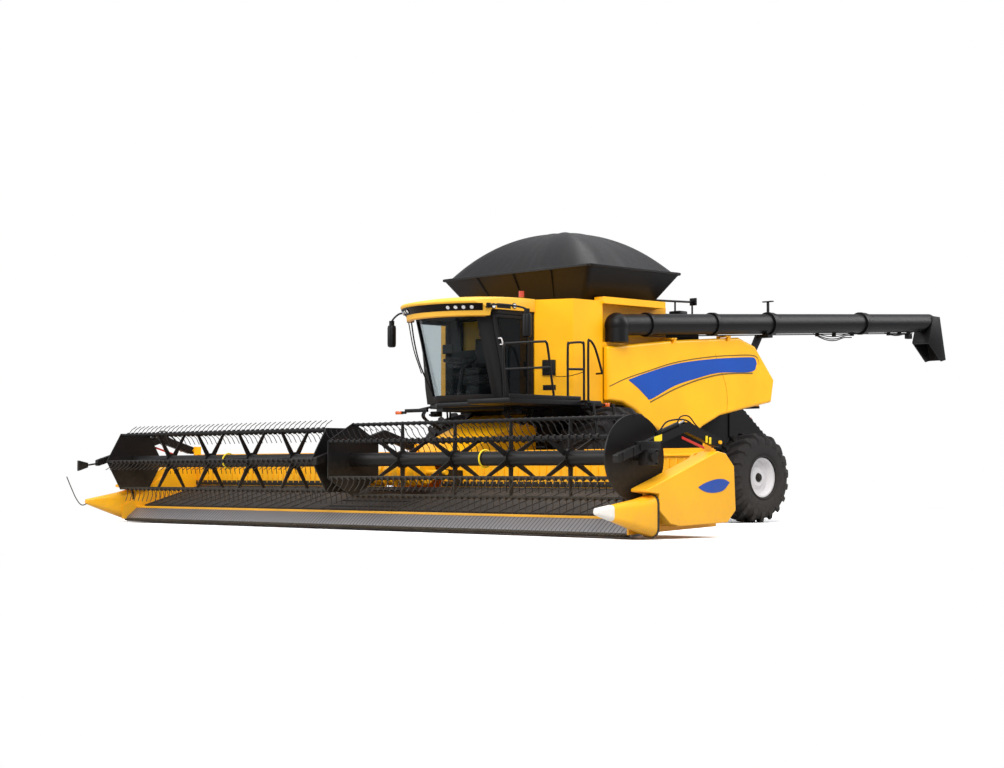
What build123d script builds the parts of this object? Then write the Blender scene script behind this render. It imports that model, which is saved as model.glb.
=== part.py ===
from build123d import *
import math
import os

# Combine harvester with a draper header and a fabric tank cover. Millimetres, +Z up, ground at Z = 0.
# The machine faces -Y, its left side is +X, and the origin is below the middle of its box.
os.makedirs("parts", exist_ok=True)

# ---- driving dimensions -------------------------------------------------------------------------
KNIFE_Y = -6101.0          # line of the knife, everything else is so far behind it
HEADER_HALF = 6050.0       # half the width between the header's end sheets
END_SHEET = 30.0           # thickness of the header's end sheets
SHIELD_DEEP = 300.0        # depth of an end shield outside its end sheet
SHIELD_IN = HEADER_HALF + END_SHEET
SHIELD_OUT = SHIELD_IN + SHIELD_DEEP
ARM_X = SHIELD_IN + 160.0  # middle of an outer reel arm
REEL_Y, REEL_Z = -95.0, 1063.0
BAT_RADIUS = 535.0
FRONT_AXLE, FRONT_RADIUS, FRONT_IN, FRONT_OUT = 3950.0, 965.0, 1260.0, 2110.0
REAR_AXLE, REAR_RADIUS, REAR_IN, REAR_OUT = 7650.0, 785.0, 1300.0, 1880.0
KINGPIN_X = 1180.0
BODY_HALF = 1620.0         # side of the tank and inner face of the side panels
CAB_HALF = 1000.0
CAB_FLOOR, CAB_TOP = 2000.0, 3450.0
FEEDER_HALF = 720.0
FEEDER_PIVOT = (3130.0, 1700.0)
ARM_PIVOT = (1270.0, 1270.0)
AUGER_X, AUGER_Y, AUGER_Z = 1700.0, 4130.0, 3270.0
AUGER_SLOPE = 0.0575
AUGER_RISE = math.degrees(math.atan(AUGER_SLOPE))
AUGER_RADIUS = 180.0
LIFT_LOW = (3560.0, 870.0)   # base and rod end of the header lift cylinders
LIFT_HIGH = (1750.0, 430.0)
LIFT_PIN = 20.0
ARM_PIN = 25.0
FEEDER_PIN = 40.0
HITCH_Y, HITCH_BORE = 8170.0, 16.0
DECK_Z = 2000.0            # top of the platform and of the threshing body
FIT = 1.0                  # gap round a pin or shaft
SEAT = 0.3                 # gap between seated pieces of different bodies


# ---- helpers ------------------------------------------------------------------------------------
def aft(distance):
    """Y of a place that far behind the knife."""
    return KNIFE_Y + distance


def block(x0, x1, a0, a1, z0, z1):
    """Box between two X, two distances behind the knife and two heights."""
    centre = Pos((x0 + x1) / 2, aft((a0 + a1) / 2), (z0 + z1) / 2)
    return centre * Box(abs(x1 - x0), abs(a1 - a0), abs(z1 - z0))


def profile(points, x0, x1, radius=0.0):
    """Side outline of (distance behind the knife, height), pulled from x0 to x1."""
    line = Polyline([(aft(a), z) for a, z in points], close=True)
    face = make_face(line)
    if radius:
        face = fillet(face.vertices(), radius)
    return extrude(Plane.YZ.offset(min(x0, x1)) * face, abs(x1 - x0), dir=(1, 0, 0))


def plan(points, z0, z1, radius=0.0):
    """Plan outline of (x, distance behind the knife), pulled from z0 to z1."""
    face = make_face(Polyline([(x, aft(a)) for x, a in points], close=True))
    if radius:
        face = fillet(face.vertices(), radius)
    return Pos(0, 0, z0) * extrude(face, z1 - z0)


def rod(start, end, radius):
    """Round bar between two points given as (x, distance behind the knife, z)."""
    p = Vector(start[0], aft(start[1]), start[2])
    q = Vector(end[0], aft(end[1]), end[2])
    place = Plane(origin=p, z_dir=q - p)
    return place * Cylinder(radius, (q - p).length, align=(Align.CENTER, Align.CENTER, Align.MIN))


def tube(points, radius, bend):
    """Round rail through a few points with rounded bends."""
    corners = [Vector(x, aft(a), z) for x, a, z in points]
    path = FilletPolyline(*corners, radius=bend)
    ring = Plane(origin=path @ 0, z_dir=path % 0) * Circle(radius)
    return sweep(ring, path=path)


def across(x0, x1, a, z, radius):
    """Round bar along X."""
    return Pos((x0 + x1) / 2, aft(a), z) * Rot(0, 90, 0) * Cylinder(radius, abs(x1 - x0))


def turned(points, a, z, x=0.0):
    """Solid of revolution about X through (a, z) from (x, radius) points."""
    face = make_face(Polyline([(px, pr) for px, pr in points], close=True))
    return Pos(x, aft(a), z) * revolve(face, Axis.X)


def mirror_x(shape):
    return mirror(shape, Plane.YZ)


def joined(shapes):
    whole = shapes[0]
    for shape in shapes[1:]:
        whole = whole + shape
    return whole


def save(name, shape):
    export_step(shape, f"parts/{name}.step")


# ---- wheels -------------------------------------------------------------------------------------
def tyre(radius, x0, x1, rim, a):
    """Carcass with its tread to the tips of the lugs, between the two side walls."""
    w = x1 - x0
    section = [(x0 + 0.06 * w, rim), (x0, rim + 0.3 * (radius - rim)), (x0, radius - 0.3 * (radius - rim)),
               (x0 + 0.10 * w, radius - 25), (x0 + 0.2 * w, radius), (x1 - 0.2 * w, radius),
               (x1 - 0.10 * w, radius - 25), (x1, radius - 0.3 * (radius - rim)),
               (x1, rim + 0.3 * (radius - rim)), (x1 - 0.06 * w, rim)]
    return turned(section, a, radius)


def rim(radius, x0, x1, disc_x, bore, a, z):
    """Rim barrel with a dished disc and its hub."""
    barrel = [(x0, radius), (x0, radius - 30), (disc_x - 60, radius - 55), (disc_x - 60, bore),
              (disc_x + 30, bore), (disc_x + 30, radius * 0.42), (disc_x - 10, radius * 0.62),
              (disc_x - 10, radius - 60), (x1, radius - 30), (x1, radius)]
    return turned(barrel, a, z)


WHEELS = [  # name, axle, radius, inner, outer, rim radius, disc, bore
    ("front", FRONT_AXLE, FRONT_RADIUS, FRONT_IN, FRONT_OUT, 440.0, 1880.0, 120.0),
    ("rear", REAR_AXLE, REAR_RADIUS, REAR_IN, REAR_OUT, 345.0, 1730.0, 80.0),
]
for end, axle, radius, inner, outer, rim_radius, disc, bore in WHEELS:
    w = outer - inner
    left_tyre = tyre(radius, inner, outer, rim_radius, axle)
    left_rim = rim(rim_radius, inner + 0.06 * w, outer - 0.06 * w, disc, bore, axle, radius)
    save(f"{end}_tyre_left", left_tyre)
    save(f"{end}_tyre_right", mirror_x(left_tyre))
    save(f"{end}_rim_left", left_rim)
    save(f"{end}_rim_right", mirror_x(left_rim))

# ---- axles and frame ----------------------------------------------------------------------------
RAIL_TOP = 1300.0
rail = block(780, 920, 3400, 6500, 1080, RAIL_TOP) + block(560, 700, 6340, 8050, 1080, RAIL_TOP)
rail = rail + block(560, 920, 6340, 6500, 1080, RAIL_TOP)
cross = [block(-780, 780, a, a + 160, 1100, 1280) for a in (3400, 5200, 6340, 7560, 7890)]
pivot_lug = block(-150, 150, 7540, 7760, 870, 1100)
front_beam = block(-1090, 1090, 3780, 4120, 820, 1080)
ears = []
for x in (-500, 500):
    for off in (-70, 70):
        ear = block(x + off - 12, x + off + 12, LIFT_LOW[0] - 60, 3780, LIFT_LOW[1] - 60, LIFT_LOW[1] + 60)
        ears.append(ear)
    ears.append(across(x - 80, x + 80, LIFT_LOW[0], LIFT_LOW[1], LIFT_PIN - FIT))
hitch_plate = block(-120, 120, 8050, 8240, 1110, 1140)
hitch_plate = hitch_plate - Pos(0, aft(HITCH_Y), 1125) * Cylinder(HITCH_BORE, 60)
drive = across(1090, 1240, FRONT_AXLE, FRONT_RADIUS, 230)
stub = across(1240, 1850, FRONT_AXLE, FRONT_RADIUS, 120 - FIT)
save("chassis_frame", joined([rail, mirror_x(rail)] + cross + [pivot_lug, hitch_plate]))
save("front_axle", joined([front_beam] + ears + [drive, mirror_x(drive), stub, mirror_x(stub)]))
rear_beam = profile([(7530, 640), (7770, 640), (7770, 870), (7530, 870)], -1090, 1090)
kingpin = Pos(KINGPIN_X, aft(REAR_AXLE), REAR_RADIUS) * Cylinder(45 - FIT, 420)
fork = block(1080, 1260, 7560, 7740, 950, 1000) + block(1080, 1260, 7560, 7740, 570, 620)
fork = fork + block(1060, 1100, 7560, 7740, 570, 1000)
rear_axle = joined([rear_beam, fork, mirror_x(fork), kingpin, mirror_x(kingpin)])
save("rear_axle", rear_axle)
knuckle = Pos(KINGPIN_X, aft(REAR_AXLE), REAR_RADIUS) * Cylinder(75, 310)
knuckle = knuckle + across(KINGPIN_X, 1700, REAR_AXLE, REAR_RADIUS, 80 - FIT)
knuckle = knuckle - Pos(KINGPIN_X, aft(REAR_AXLE), REAR_RADIUS) * Cylinder(45, 400)
save("rear_knuckle_left", knuckle)
save("rear_knuckle_right", mirror_x(knuckle))

# ---- threshing body, tank and engine -------------------------------------------------------------
threshing = block(-1060, 1060, 3300, 6600, RAIL_TOP, DECK_Z)
rear_case = profile([(6600, RAIL_TOP), (6600, DECK_Z), (8000, DECK_Z), (8000, 1500), (7800, RAIL_TOP)], -800, 800)
for x in (-755, 755):
    ear = [(3060, 1650), (3150, 1630), (3300, 1560), (3300, 1880), (3200, 1880), (3060, 1760)]
    threshing = threshing + profile(ear, x - 20, x + 20)
    threshing = threshing + across(x, x * 0.87, FEEDER_PIVOT[0], FEEDER_PIVOT[1], FEEDER_PIN - FIT)
save("threshing_body", threshing + rear_case)
tank_plan = [(-1000, 2950), (1000, 2950), (1600, 3230), (BODY_HALF, 3880), (1450, 3880), (1450, 5600),
             (-BODY_HALF, 5600), (-1600, 3230)]
inner_plan = [(-960, 3010), (960, 3010), (1390, 3240), (1390, 5540), (-1540, 5540), (-1540, 3270)]
tank = plan(tank_plan, DECK_Z, 3610) - plan(inner_plan, DECK_Z + 60, 3700)
lid_plate = plan(tank_plan, 3610, 3650) - plan([(-1290, 3760), (1290, 3760), (1290, 5290), (-1290, 5290)], 3500, 3700)
top_rail = block(1440, 1660, 3880, 5360, 3610, 3720)
shelf = block(1440, 1615, 3880, 4400, 2900, 2985)
save("engine_block", block(-550, 550, 5900, 7250, DECK_Z + 40, 2900))
floor = block(-1560, 1560, 5610, 7940, DECK_Z, DECK_Z + 40)
deck = block(-1400, 1400, 5610, 6500, 3000, 3560) + block(-1400, 1400, 5610, 5660, DECK_Z + 40, 3000)
save("engine_deck", floor + deck)

FUNNEL = [(1350.0, 3700.0, 5350.0, 3650.0), (1730.0, 3460.0, 5580.0, 4200.0)]  # half width, front, rear, z
WALL = 35.0


def funnel_solid(inset):
    rings = []
    for half, front, rear, z in FUNNEL:
        ring = [(-half + inset, front + inset), (half - inset, front + inset), (half - inset, rear - inset),
                (-half + inset, rear - inset)]
        face = make_face(Polyline([(x, aft(a)) for x, a in ring], close=True))
        rings.append(Pos(0, 0, z) * fillet(face.vertices(), 180 - inset))
    return loft(rings, ruled=True)


save("tank_extension", funnel_solid(0) - funnel_solid(WALL))
rim_half, rim_front, rim_rear, rim_z = FUNNEL[1]
COVER_TOP = 4950.0
base = make_face(Polyline([(-rim_half, aft(rim_front)), (rim_half, aft(rim_front)), (rim_half, aft(rim_rear)),
                           (-rim_half, aft(rim_rear))], close=True))
base = fillet(base.vertices(), 180)
mid = make_face(Polyline([(-1150, aft(3800)), (1150, aft(3800)), (1150, aft(5250)), (-1150, aft(5250))],
                         close=True))
mid = fillet(mid.vertices(), 300)
top = Pos(0, aft(4540), COVER_TOP) * Circle(120)
cover = loft([Pos(0, 0, rim_z) * base, Pos(0, 0, 4680) * mid], ruled=True)
crown = loft([Pos(0, 0, 4680) * mid, top], ruled=True)
save("tank_cover", cover + crown)

# ---- side panels and rear hood ------------------------------------------------------------------
SIDE = [(3900, 2030), (3900, 2910), (4330, 2950), (5500, 3085), (7200, 3215), (7640, 3080), (8160, 2510),
        (8080, 2110), (7420, 1990), (6700, 1850), (6230, 1650), (6120, 1570), (5150, 1560), (4850, 1690),
        (4560, 1880), (4250, 2005)]
panel = profile(SIDE, BODY_HALF + 5, BODY_HALF + 105, 30)
panel = fillet(panel.faces().sort_by(Axis.X)[-1].edges(), 50)
HINGE_X = 1726.0
HINGES = [(5500.0, 3107.0), (6900.0, 3213.0)]   # distance behind the knife and height of the panel's hinge line
hinge_arms = []
for a, z in HINGES:
    panel = panel - block(1600, 1750, a - 75, a - 15, z - 80, z + 60)
    knuckle = rod((HINGE_X, a - 10, z - 0.8), (HINGE_X, a + 50, z + 3.8), 18) + block(1680, 1730, a - 10, a + 50, z - 60, z)
    panel = panel + knuckle - rod((HINGE_X, a - 40, z - 3), (HINGE_X, a + 80, z + 6), 11)
    pin = rod((HINGE_X, a - 60, z - 4.5), (HINGE_X, a + 50, z + 3.8), 10)
    hinge_arms.append(block(1450 if a < 6000 else 1540, 1740, a - 65, a - 25, z - 14, z + 14) + pin)
save("side_panel_left", panel)
save("side_panel_right", mirror_x(panel))
tank = tank + lid_plate + top_rail + shelf + hinge_arms[0] + mirror_x(hinge_arms[0] & block(1600, 1800, 5000, 6000, 3000, 3300))
save("grain_tank", tank)
riser = block(1520, 1560, 6825, 6885, 3050, 3227)

HOOD = [(6500, DECK_Z + 40), (6500, 3120), (7200, 3180), (7600, 3050), (8100, 2500), (7980, 2120),
        (7930, 2120), (7930, DECK_Z + 40)]
HOOD_IN = [(6400, DECK_Z), (6400, 3075), (7190, 3130), (7570, 3000), (8040, 2490), (7930, 2150), (7880, DECK_Z)]
hood = profile(HOOD, -1560, 1560) - profile(HOOD_IN, -1520, 1520)
hinge_rear = riser + hinge_arms[1]
save("rear_hood", hood + hinge_rear + mirror_x(hinge_rear))
cradle = profile([(7560, 2850), (7700, 2850), (7960, 3240), (7960, 3290), (7820, 3290)], 1560, 1610)
cradle = cradle + block(1560, 1850, 7820, 7960, 3240, 3290)
save("auger_cradle", cradle)
CHUTE = [(7980, 2115), (8250, 2115), (9150, 1450), (9500, 1280), (9500, 1050), (8700, 1050), (8000, 1500),
         (8000, DECK_Z), (7980, DECK_Z)]
save("straw_chute", profile(CHUTE, -820, 820))

# ---- feeder house -------------------------------------------------------------------------------
FEEDER = [(1430, 340), (1430, 1060), (3200, 1820), (3260, 1700), (3240, 1190)]
FEEDER_IN = [(1400, 385), (1400, 1000), (3300, 1790), (3300, 1270)]
feeder = profile(FEEDER, -FEEDER_HALF, FEEDER_HALF) - profile(FEEDER_IN, -FEEDER_HALF + 40, FEEDER_HALF - 40)
for x in (-500, 500):
    for off in (-60, 60):
        lug = [(1690, 520), (1810, 560), (1800, 380), (1700, 380)]
        feeder = feeder + profile(lug, x + off - 10, x + off + 10)
feeder = feeder - across(-800, 800, FEEDER_PIVOT[0], FEEDER_PIVOT[1], FEEDER_PIN)
save("feeder_house", feeder)

# ---- header -------------------------------------------------------------------------------------
back = block(-HEADER_HALF, HEADER_HALF, 1240, 1270, 620, 1120) - block(-680, 680, 1200, 1300, 300, 1000)
beam = block(-HEADER_HALF, HEADER_HALF, 1270, 1430, 1060, 1200)
floor_beam = block(-HEADER_HALF, HEADER_HALF, 1160, 1430, 140, 300)
posts = [block(x - 50, x + 50, 1270, 1400, 300, 1060) for x in (-5900, -4400, -2900, -1500, 1500, 2900, 4400, 5900)]
deck_in = [(60, 215), (1240, 560), (1240, 585), (60, 240)]
deck_plate = profile(deck_in, -HEADER_HALF, HEADER_HALF)
ribs = [profile([(60, 120), (1160, 160), (1160, 536), (60, 214)], x - 15, x + 15) for x in range(-6000, 6001, 1500)]
back = back + block(-HEADER_HALF, HEADER_HALF, 1240, 1270, 560, 640) - block(-680, 680, 1200, 1300, 590, 1000)
END = [(-300, 60), (-300, 280), (-60, 400), (1000, 1120), (1430, 1180), (1430, 140)]
ends = [profile(END, s * SHIELD_IN, s * HEADER_HALF) for s in (-1, 1)]
ends = [end + block(s * HEADER_HALF, s * SHIELD_IN, 1200, 1340, 1100, 1340) for s, end in zip((-1, 1), ends)]
end_shafts = [across(s * (HEADER_HALF + 5), s * (ARM_X + 70), ARM_PIVOT[0], ARM_PIVOT[1], ARM_PIN - FIT)
              for s in (-1, 1)]
pivots = [block(x - 8, x + 8, 1215, 1325, 1190, 1320) for x in (-65, 65)]
pivots.append(across(-72, 72, ARM_PIVOT[0], ARM_PIVOT[1], ARM_PIN - FIT))
save("header_frame", joined([back, beam, floor_beam] + posts + pivots))
save("header_deck", deck_plate)
save("header_ribs", Compound(children=ribs))
save("header_ends", Compound(children=[end + shaft for end, shaft in zip(ends, end_shafts)]))
RAMP = [(-290, 30), (-250, 20), (60, 60), (60, 210), (40, 262), (0, 262), (-260, 90)]
save("cutterbar", profile(RAMP, -HEADER_HALF, HEADER_HALF))

BELT_UP = 60.0
DECK_SLOPE = (585 - 240) / (1240 - 60)
belts = []
for x0, x1 in ((-5950, -860), (-840, 840), (860, 5950)):
    low, high = 240 + DECK_SLOPE * 30, 240 + DECK_SLOPE * 1175
    slope = [(90, low), (1235, high), (1235, high + BELT_UP), (90, low + BELT_UP)]
    belts.append(profile(slope, x0, x1))
save("draper_belts", Compound(children=belts))

SHIELD = [(-250, 655), (140, 790), (460, 905), (1130, 1150), (1290, 1120), (1460, 950), (1490, 360),
          (1320, 200), (360, 165), (180, 200), (-30, 370), (-30, 590), (-250, 615)]
shield = profile(SHIELD, SHIELD_IN, SHIELD_OUT, 15)
shield = fillet(shield.faces().sort_by(Axis.X)[-1].edges(), 12)
shields = Compound(children=[shield, mirror_x(shield)])
save("end_shields", shields)

NOSE = [  # distance behind the knife, from and to outside the end sheet, from and to in height
    (-975, 30, 110, 330, 410),
    (-300, 0, 270, 105, 525),
    (-65, 0, 320, 30, 565),
]
rings = []
for a, out0, out1, z0, z1 in NOSE:
    x0, x1 = SHIELD_IN + out0, SHIELD_IN + out1
    ring = make_face(Polyline([(x0, z0), (x1, z0), (x1, z1), (x0, z1)], close=True))
    ring = fillet(ring.vertices(), 0.45 * min(x1 - x0, z1 - z0) if a < -500 else 120)
    rings.append(Plane(origin=(0, aft(a), 0), x_dir=(1, 0, 0), z_dir=(0, -1, 0)) * ring)
nose = loft(rings, ruled=True)
WIRE = [(-960, 330), (-1080, 300), (-1180, 420), (-1290, 640), (-1360, 800)]   # distance, height
wire = tube([(-SHIELD_IN - 70, a, z) for a, z in WIRE], 9, 25)
noses = Compound(children=[nose, mirror_x(nose) + wire])
save("divider_noses", noses)

HALF_GAP = 140.0           # from the middle of the machine to each half of the reel
REEL_END = HEADER_HALF - 40.0
STUB, STUB_LENGTH = 45.0, 120.0   # bore and depth of the bearings at each end of a reel half
ARM_WIDE = 90.0
ARM = [(-715, 980), (600, 1400), (1190, 1215), (1280, 1215), (1300, 1325), (640, 1530), (-715, 1090)]
arms = []
for x in (-ARM_X, 0, ARM_X):
    arm = profile(ARM, x - ARM_WIDE / 2, x + ARM_WIDE / 2, 20)
    arm = arm + across(x - ARM_WIDE / 2, x + ARM_WIDE / 2, ARM_PIVOT[0], ARM_PIVOT[1], 62)
    hanger = profile([(REEL_Y - 70, REEL_Z - 70), (REEL_Y + 70, REEL_Z - 70), (REEL_Y + 110, 1260),
                      (REEL_Y - 110, 1190)], x - ARM_WIDE / 2, x + ARM_WIDE / 2)
    inward = ARM_X - REEL_END + STUB_LENGTH
    if x:
        stub = across(x, x - math.copysign(inward, x), REEL_Y, REEL_Z, STUB - FIT)
    else:
        stub = across(-HALF_GAP - STUB_LENGTH, HALF_GAP + STUB_LENGTH, REEL_Y, REEL_Z, STUB - FIT)
    arm = arm + hanger + stub
    arm = arm - across(x - 100, x + 100, ARM_PIVOT[0], ARM_PIVOT[1], ARM_PIN)
    arms.append(arm)
marker = rod((-ARM_X, -690, 1030), (-ARM_X, -900, 1000), 15)
flare = profile([(-900, 960), (-1080, 900), (-1080, 1080), (-900, 1040)], -ARM_X - 30, -ARM_X + 30)
arms[0] = arms[0] + marker + flare
for name, arm in zip(("right", "centre", "left"), arms):
    save(f"reel_arm_{name}", arm)

spider_pitch = (REEL_END - HALF_GAP) / 5
sections = []
for side in (-1, 1):
    sections.append(across(side * HALF_GAP, side * REEL_END, REEL_Y, REEL_Z, 100))
    for i in range(6):
        angle = math.radians(60 * i)
        a = REEL_Y + BAT_RADIUS * math.cos(angle)
        z = REEL_Z + BAT_RADIUS * math.sin(angle)
        sections.append(across(side * HALF_GAP, side * REEL_END, a, z, 22))
    for k in range(6):
        x = side * (HALF_GAP + 15 + k * (spider_pitch - 6))
        if k in (0, 5):
            hexagon = [(REEL_Y + 560 * math.cos(math.radians(60 * i)), REEL_Z + 560 * math.sin(math.radians(60 * i)))
                       for i in range(6)]
            sections.append(profile(hexagon, x - 12, x + 12))
        else:
            for i in range(6):
                c, s = math.cos(math.radians(60 * i)), math.sin(math.radians(60 * i))
                root, tip = (70, 30), (BAT_RADIUS, 14)
                quad = [(REEL_Y + r * c - h * s, REEL_Z + r * s + h * c)
                        for r, h in ((root[0], root[1]), (tip[0], tip[1]), (tip[0], -tip[1]), (root[0], -root[1]))]
                sections.append(profile(quad, x - 10, x + 10))
bearings = [across(side * (REEL_END + 30), side * (REEL_END - STUB_LENGTH - 10), REEL_Y, REEL_Z, STUB)
            for side in (-1, 1)]
bearings.append(across(-HALF_GAP - STUB_LENGTH - 10, HALF_GAP + STUB_LENGTH + 10, REEL_Y, REEL_Z, STUB))
save("reel", joined(sections) - joined(bearings))

drum = across(-800, 800, 850, 870, 170)
flights = [across(x - 8, x + 8, 850, 870, 205) for x in range(-700, 701, 200)]
shaft = across(-1240, 1240, 850, 870, 40 - FIT)
save("feed_drum", joined([drum, shaft] + flights))
hangers = [profile([(790, 810), (1240, 700), (1240, 900), (790, 930)], x - 25, x + 25)
           - across(x - 40, x + 40, 850, 870, 40) for x in (-1150, 1150)]
save("drum_hangers", Compound(children=hangers))

# ---- cab ----------------------------------------------------------------------------------------
DOOR_X, DOOR_Y = 1018.0, 2848.0
CAB = [(CAB_HALF, 2930), (CAB_HALF, 2500), (780, 1980), (350, 1690), (-350, 1690), (-780, 1980),
       (-CAB_HALF, 2500), (-CAB_HALF, 2930)]
CAB_IN = [(940, 2870), (940, 2510), (735, 2030), (330, 1750), (-330, 1750), (-735, 2030), (-940, 2510),
          (-940, 2870)]
shell = plan(CAB, CAB_FLOOR, CAB_TOP) - plan(CAB_IN, CAB_FLOOR + 60, CAB_TOP + 10)
door_cut = plan([(1200, 2080), (600, 2080), (900, 2840), (1200, 2840)], CAB_FLOOR + 60, CAB_TOP - 70)
side_cut = plan([(-1200, 2080), (-600, 2080), (-900, 2840), (-1200, 2840)], CAB_FLOOR + 200, CAB_TOP - 70)
front_cut = plan([(690, 1500), (690, 1990), (-690, 1990), (-690, 1500)], CAB_FLOOR + 150, CAB_TOP - 70)
rear_cut = block(-700, 700, 2800, 3000, 2900, CAB_TOP - 70)
shell = shell - door_cut - side_cut - front_cut - rear_cut
for z in (2300, 3150):
    shell = shell + Pos(DOOR_X, aft(DOOR_Y), z) * Cylinder(14, 40) + block(990, DOOR_X, 2846, 2860, z - 20, z + 20)
    shell = shell + Pos(DOOR_X, aft(DOOR_Y), z + 30) * Cylinder(8 - 0.5, 80)
save("cab_shell", shell)
outline = make_face(Polyline([(x, aft(a)) for x, a in CAB], close=True))
pane_ring = offset(outline, -22, kind=Kind.INTERSECTION) - offset(outline, -34, kind=Kind.INTERSECTION)
pane_ring = Pos(0, 0, CAB_FLOOR) * extrude(pane_ring, CAB_TOP - CAB_FLOOR)
save("cab_glass", Compound(children=[pane_ring & cut for cut in (side_cut, front_cut, rear_cut)]))
ROOF = [(1020, 2940), (1020, 1750), (500, 1400), (-500, 1400), (-1020, 1750), (-1020, 2940)]
save("cab_roof", plan(ROOF, CAB_TOP, 3690, 60))
save("seat", block(-260, 260, 2250, 2750, 2450, 2580) + block(-240, 240, 2650, 2790, 2580, 3250)
     + block(-150, 150, 2350, 2650, CAB_FLOOR + 60, 2450))
column = block(-90, 90, 1880, 2020, CAB_FLOOR + 60, CAB_FLOOR + 90) + rod((0, 1950, CAB_FLOOR + 80), (0, 2083, 2762), 30)
wheel = Pos(0, aft(2085), 2765) * Rot(-20, 0, 0) * Torus(180, 16)
spoke = Pos(0, aft(2085), 2765) * Rot(-20, 0, 0) * Box(340, 40, 14)
save("steering_column", column + wheel + spoke)

door = plan([(CAB_HALF + 2, 2838), (CAB_HALF + 2, 2520), (820, 2085), (770, 2085), (950, 2520), (950, 2838)],
            CAB_FLOOR + 65, CAB_TOP - 75)
for z in (2345, 3195):
    door = door + Pos(DOOR_X, aft(DOOR_Y), z) * Cylinder(14, 40) + block(1000, DOOR_X, 2815, 2840, z - 20, z + 20)
    door = door - Pos(DOOR_X, aft(DOOR_Y), z) * Cylinder(8, 80)
save("cab_door", door)

# ---- platform, rails and ladder -----------------------------------------------------------------
platform = block(-1000, 1000, 1750, 3300, 1900, DECK_Z) + block(1000, 2050, 1700, 3300, 1930, DECK_Z)
platform = platform + block(1060, 2050, 3300, 3400, 1930, DECK_Z)
hinge_ears = block(2050, 2175, 2940, 3010, 1875, 1905) + block(2050, 2175, 2940, 3010, 1965, 1995)
hinge_pin = Pos(2140, aft(2975), 1935) * Cylinder(15 - FIT, 120)
save("platform", joined([platform, hinge_ears, hinge_pin]))
rail_a = tube([(1900, 1760, DECK_Z + 4), (1900, 1660, 2900), (1900, 2560, 2900), (1900, 2700, DECK_Z + 4)], 19, 120)
rail_b = tube([(1900, 3040, DECK_Z + 4), (1900, 3040, 2930), (1900, 3360, 2930), (1900, 3360, DECK_Z + 4)], 19, 90)
feet = [Pos(1900, aft(a), DECK_Z + 5) * Cylinder(35, 10) for a in (1760, 2700, 3040, 3360)]
save("handrails", Compound(children=[rail_a + feet[0] + feet[1], rail_b + feet[2] + feet[3]]))
ladder = [rod((2225, a, 1950), (2500, a, 420), 25) for a in (3030, 3480)]
for k in range(5):
    z = 500 + 300 * k
    x = 2500 - 275 * (z - 420) / 1530
    ladder.append(block(x - 60, x + 60, 3020, 3490, z - 15, z + 15))
eye = Pos(2140, aft(2975), 1935) * Cylinder(32, 50) + block(2150, 2240, 2975, 3035, 1912, 1958)
ladder.append(eye)
ladder = joined(ladder) - Pos(2140, aft(2975), 1935) * Cylinder(15, 90)
save("ladder", ladder)

# ---- unloading auger ----------------------------------------------------------------------------
run = 8830.0
tilt = Pos(AUGER_X, aft(AUGER_Y), AUGER_Z) * Rot(AUGER_RISE, 0, 0)
barrel = tilt * (Pos(0, run / 2, 0) * Rot(90, 0, 0) * Cylinder(AUGER_RADIUS - 4, run))
collars = [tilt * (Pos(0, d, 0) * Rot(90, 0, 0) * Cylinder(AUGER_RADIUS + 30, 60)) for d in (3890, 6610)]
elbow = Pos(AUGER_X, aft(AUGER_Y), AUGER_Z) * Sphere(AUGER_RADIUS + 20)
neck = Pos(AUGER_X, aft(AUGER_Y), (AUGER_Z + 3030 + SEAT) / 2)
neck = neck * Cylinder(AUGER_RADIUS + 10, AUGER_Z - 3030 - SEAT)
SPOUT = [(12930, 3905), (13310, 3925), (13570, 3070), (12840, 3020), (12480, 3480)]
spout = profile(SPOUT, AUGER_X - 190, AUGER_X + 190)
save("unloading_auger", joined([barrel, elbow, neck] + collars) - spout)
save("auger_spout", spout)
save("auger_base", Pos(AUGER_X, aft(AUGER_Y), 3007.5) * Cylinder(AUGER_RADIUS + 10, 45))

# ---- header lift cylinders ----------------------------------------------------------------------
lift = Plane(origin=(0, aft(LIFT_LOW[0]), LIFT_LOW[1]), x_dir=(1, 0, 0),
             z_dir=(0, LIFT_HIGH[0] - LIFT_LOW[0], LIFT_HIGH[1] - LIFT_LOW[1]))
LIFT_LENGTH = math.dist(LIFT_LOW, LIFT_HIGH)
BARREL_LENGTH = 1350.0
ALONG = (Align.CENTER, Align.CENTER, Align.MIN)
for side, name in ((1, "left"), (-1, "right")):
    eye = Rot(0, 90, 0) * Cylinder(48, 100)
    case = Pos(0, 0, 30) * Cylinder(52, BARREL_LENGTH, align=ALONG)
    bore = Pos(0, 0, 200) * Cylinder(31, BARREL_LENGTH, align=ALONG)
    pin_hole = Rot(0, 90, 0) * Cylinder(LIFT_PIN, 120)
    save(f"lift_barrel_{name}", Pos(side * 500, 0, 0) * (lift * (eye + case - bore - pin_hole)))
    stem = Pos(0, 0, 700) * Cylinder(30, LIFT_LENGTH - 740, align=ALONG)
    rod_eye = Pos(0, 0, LIFT_LENGTH) * Rot(0, 90, 0) * (Cylinder(45, 80) - Cylinder(20, 90))
    save(f"lift_rod_{name}", Pos(side * 500, 0, 0) * (lift * (stem + rod_eye)))

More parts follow.
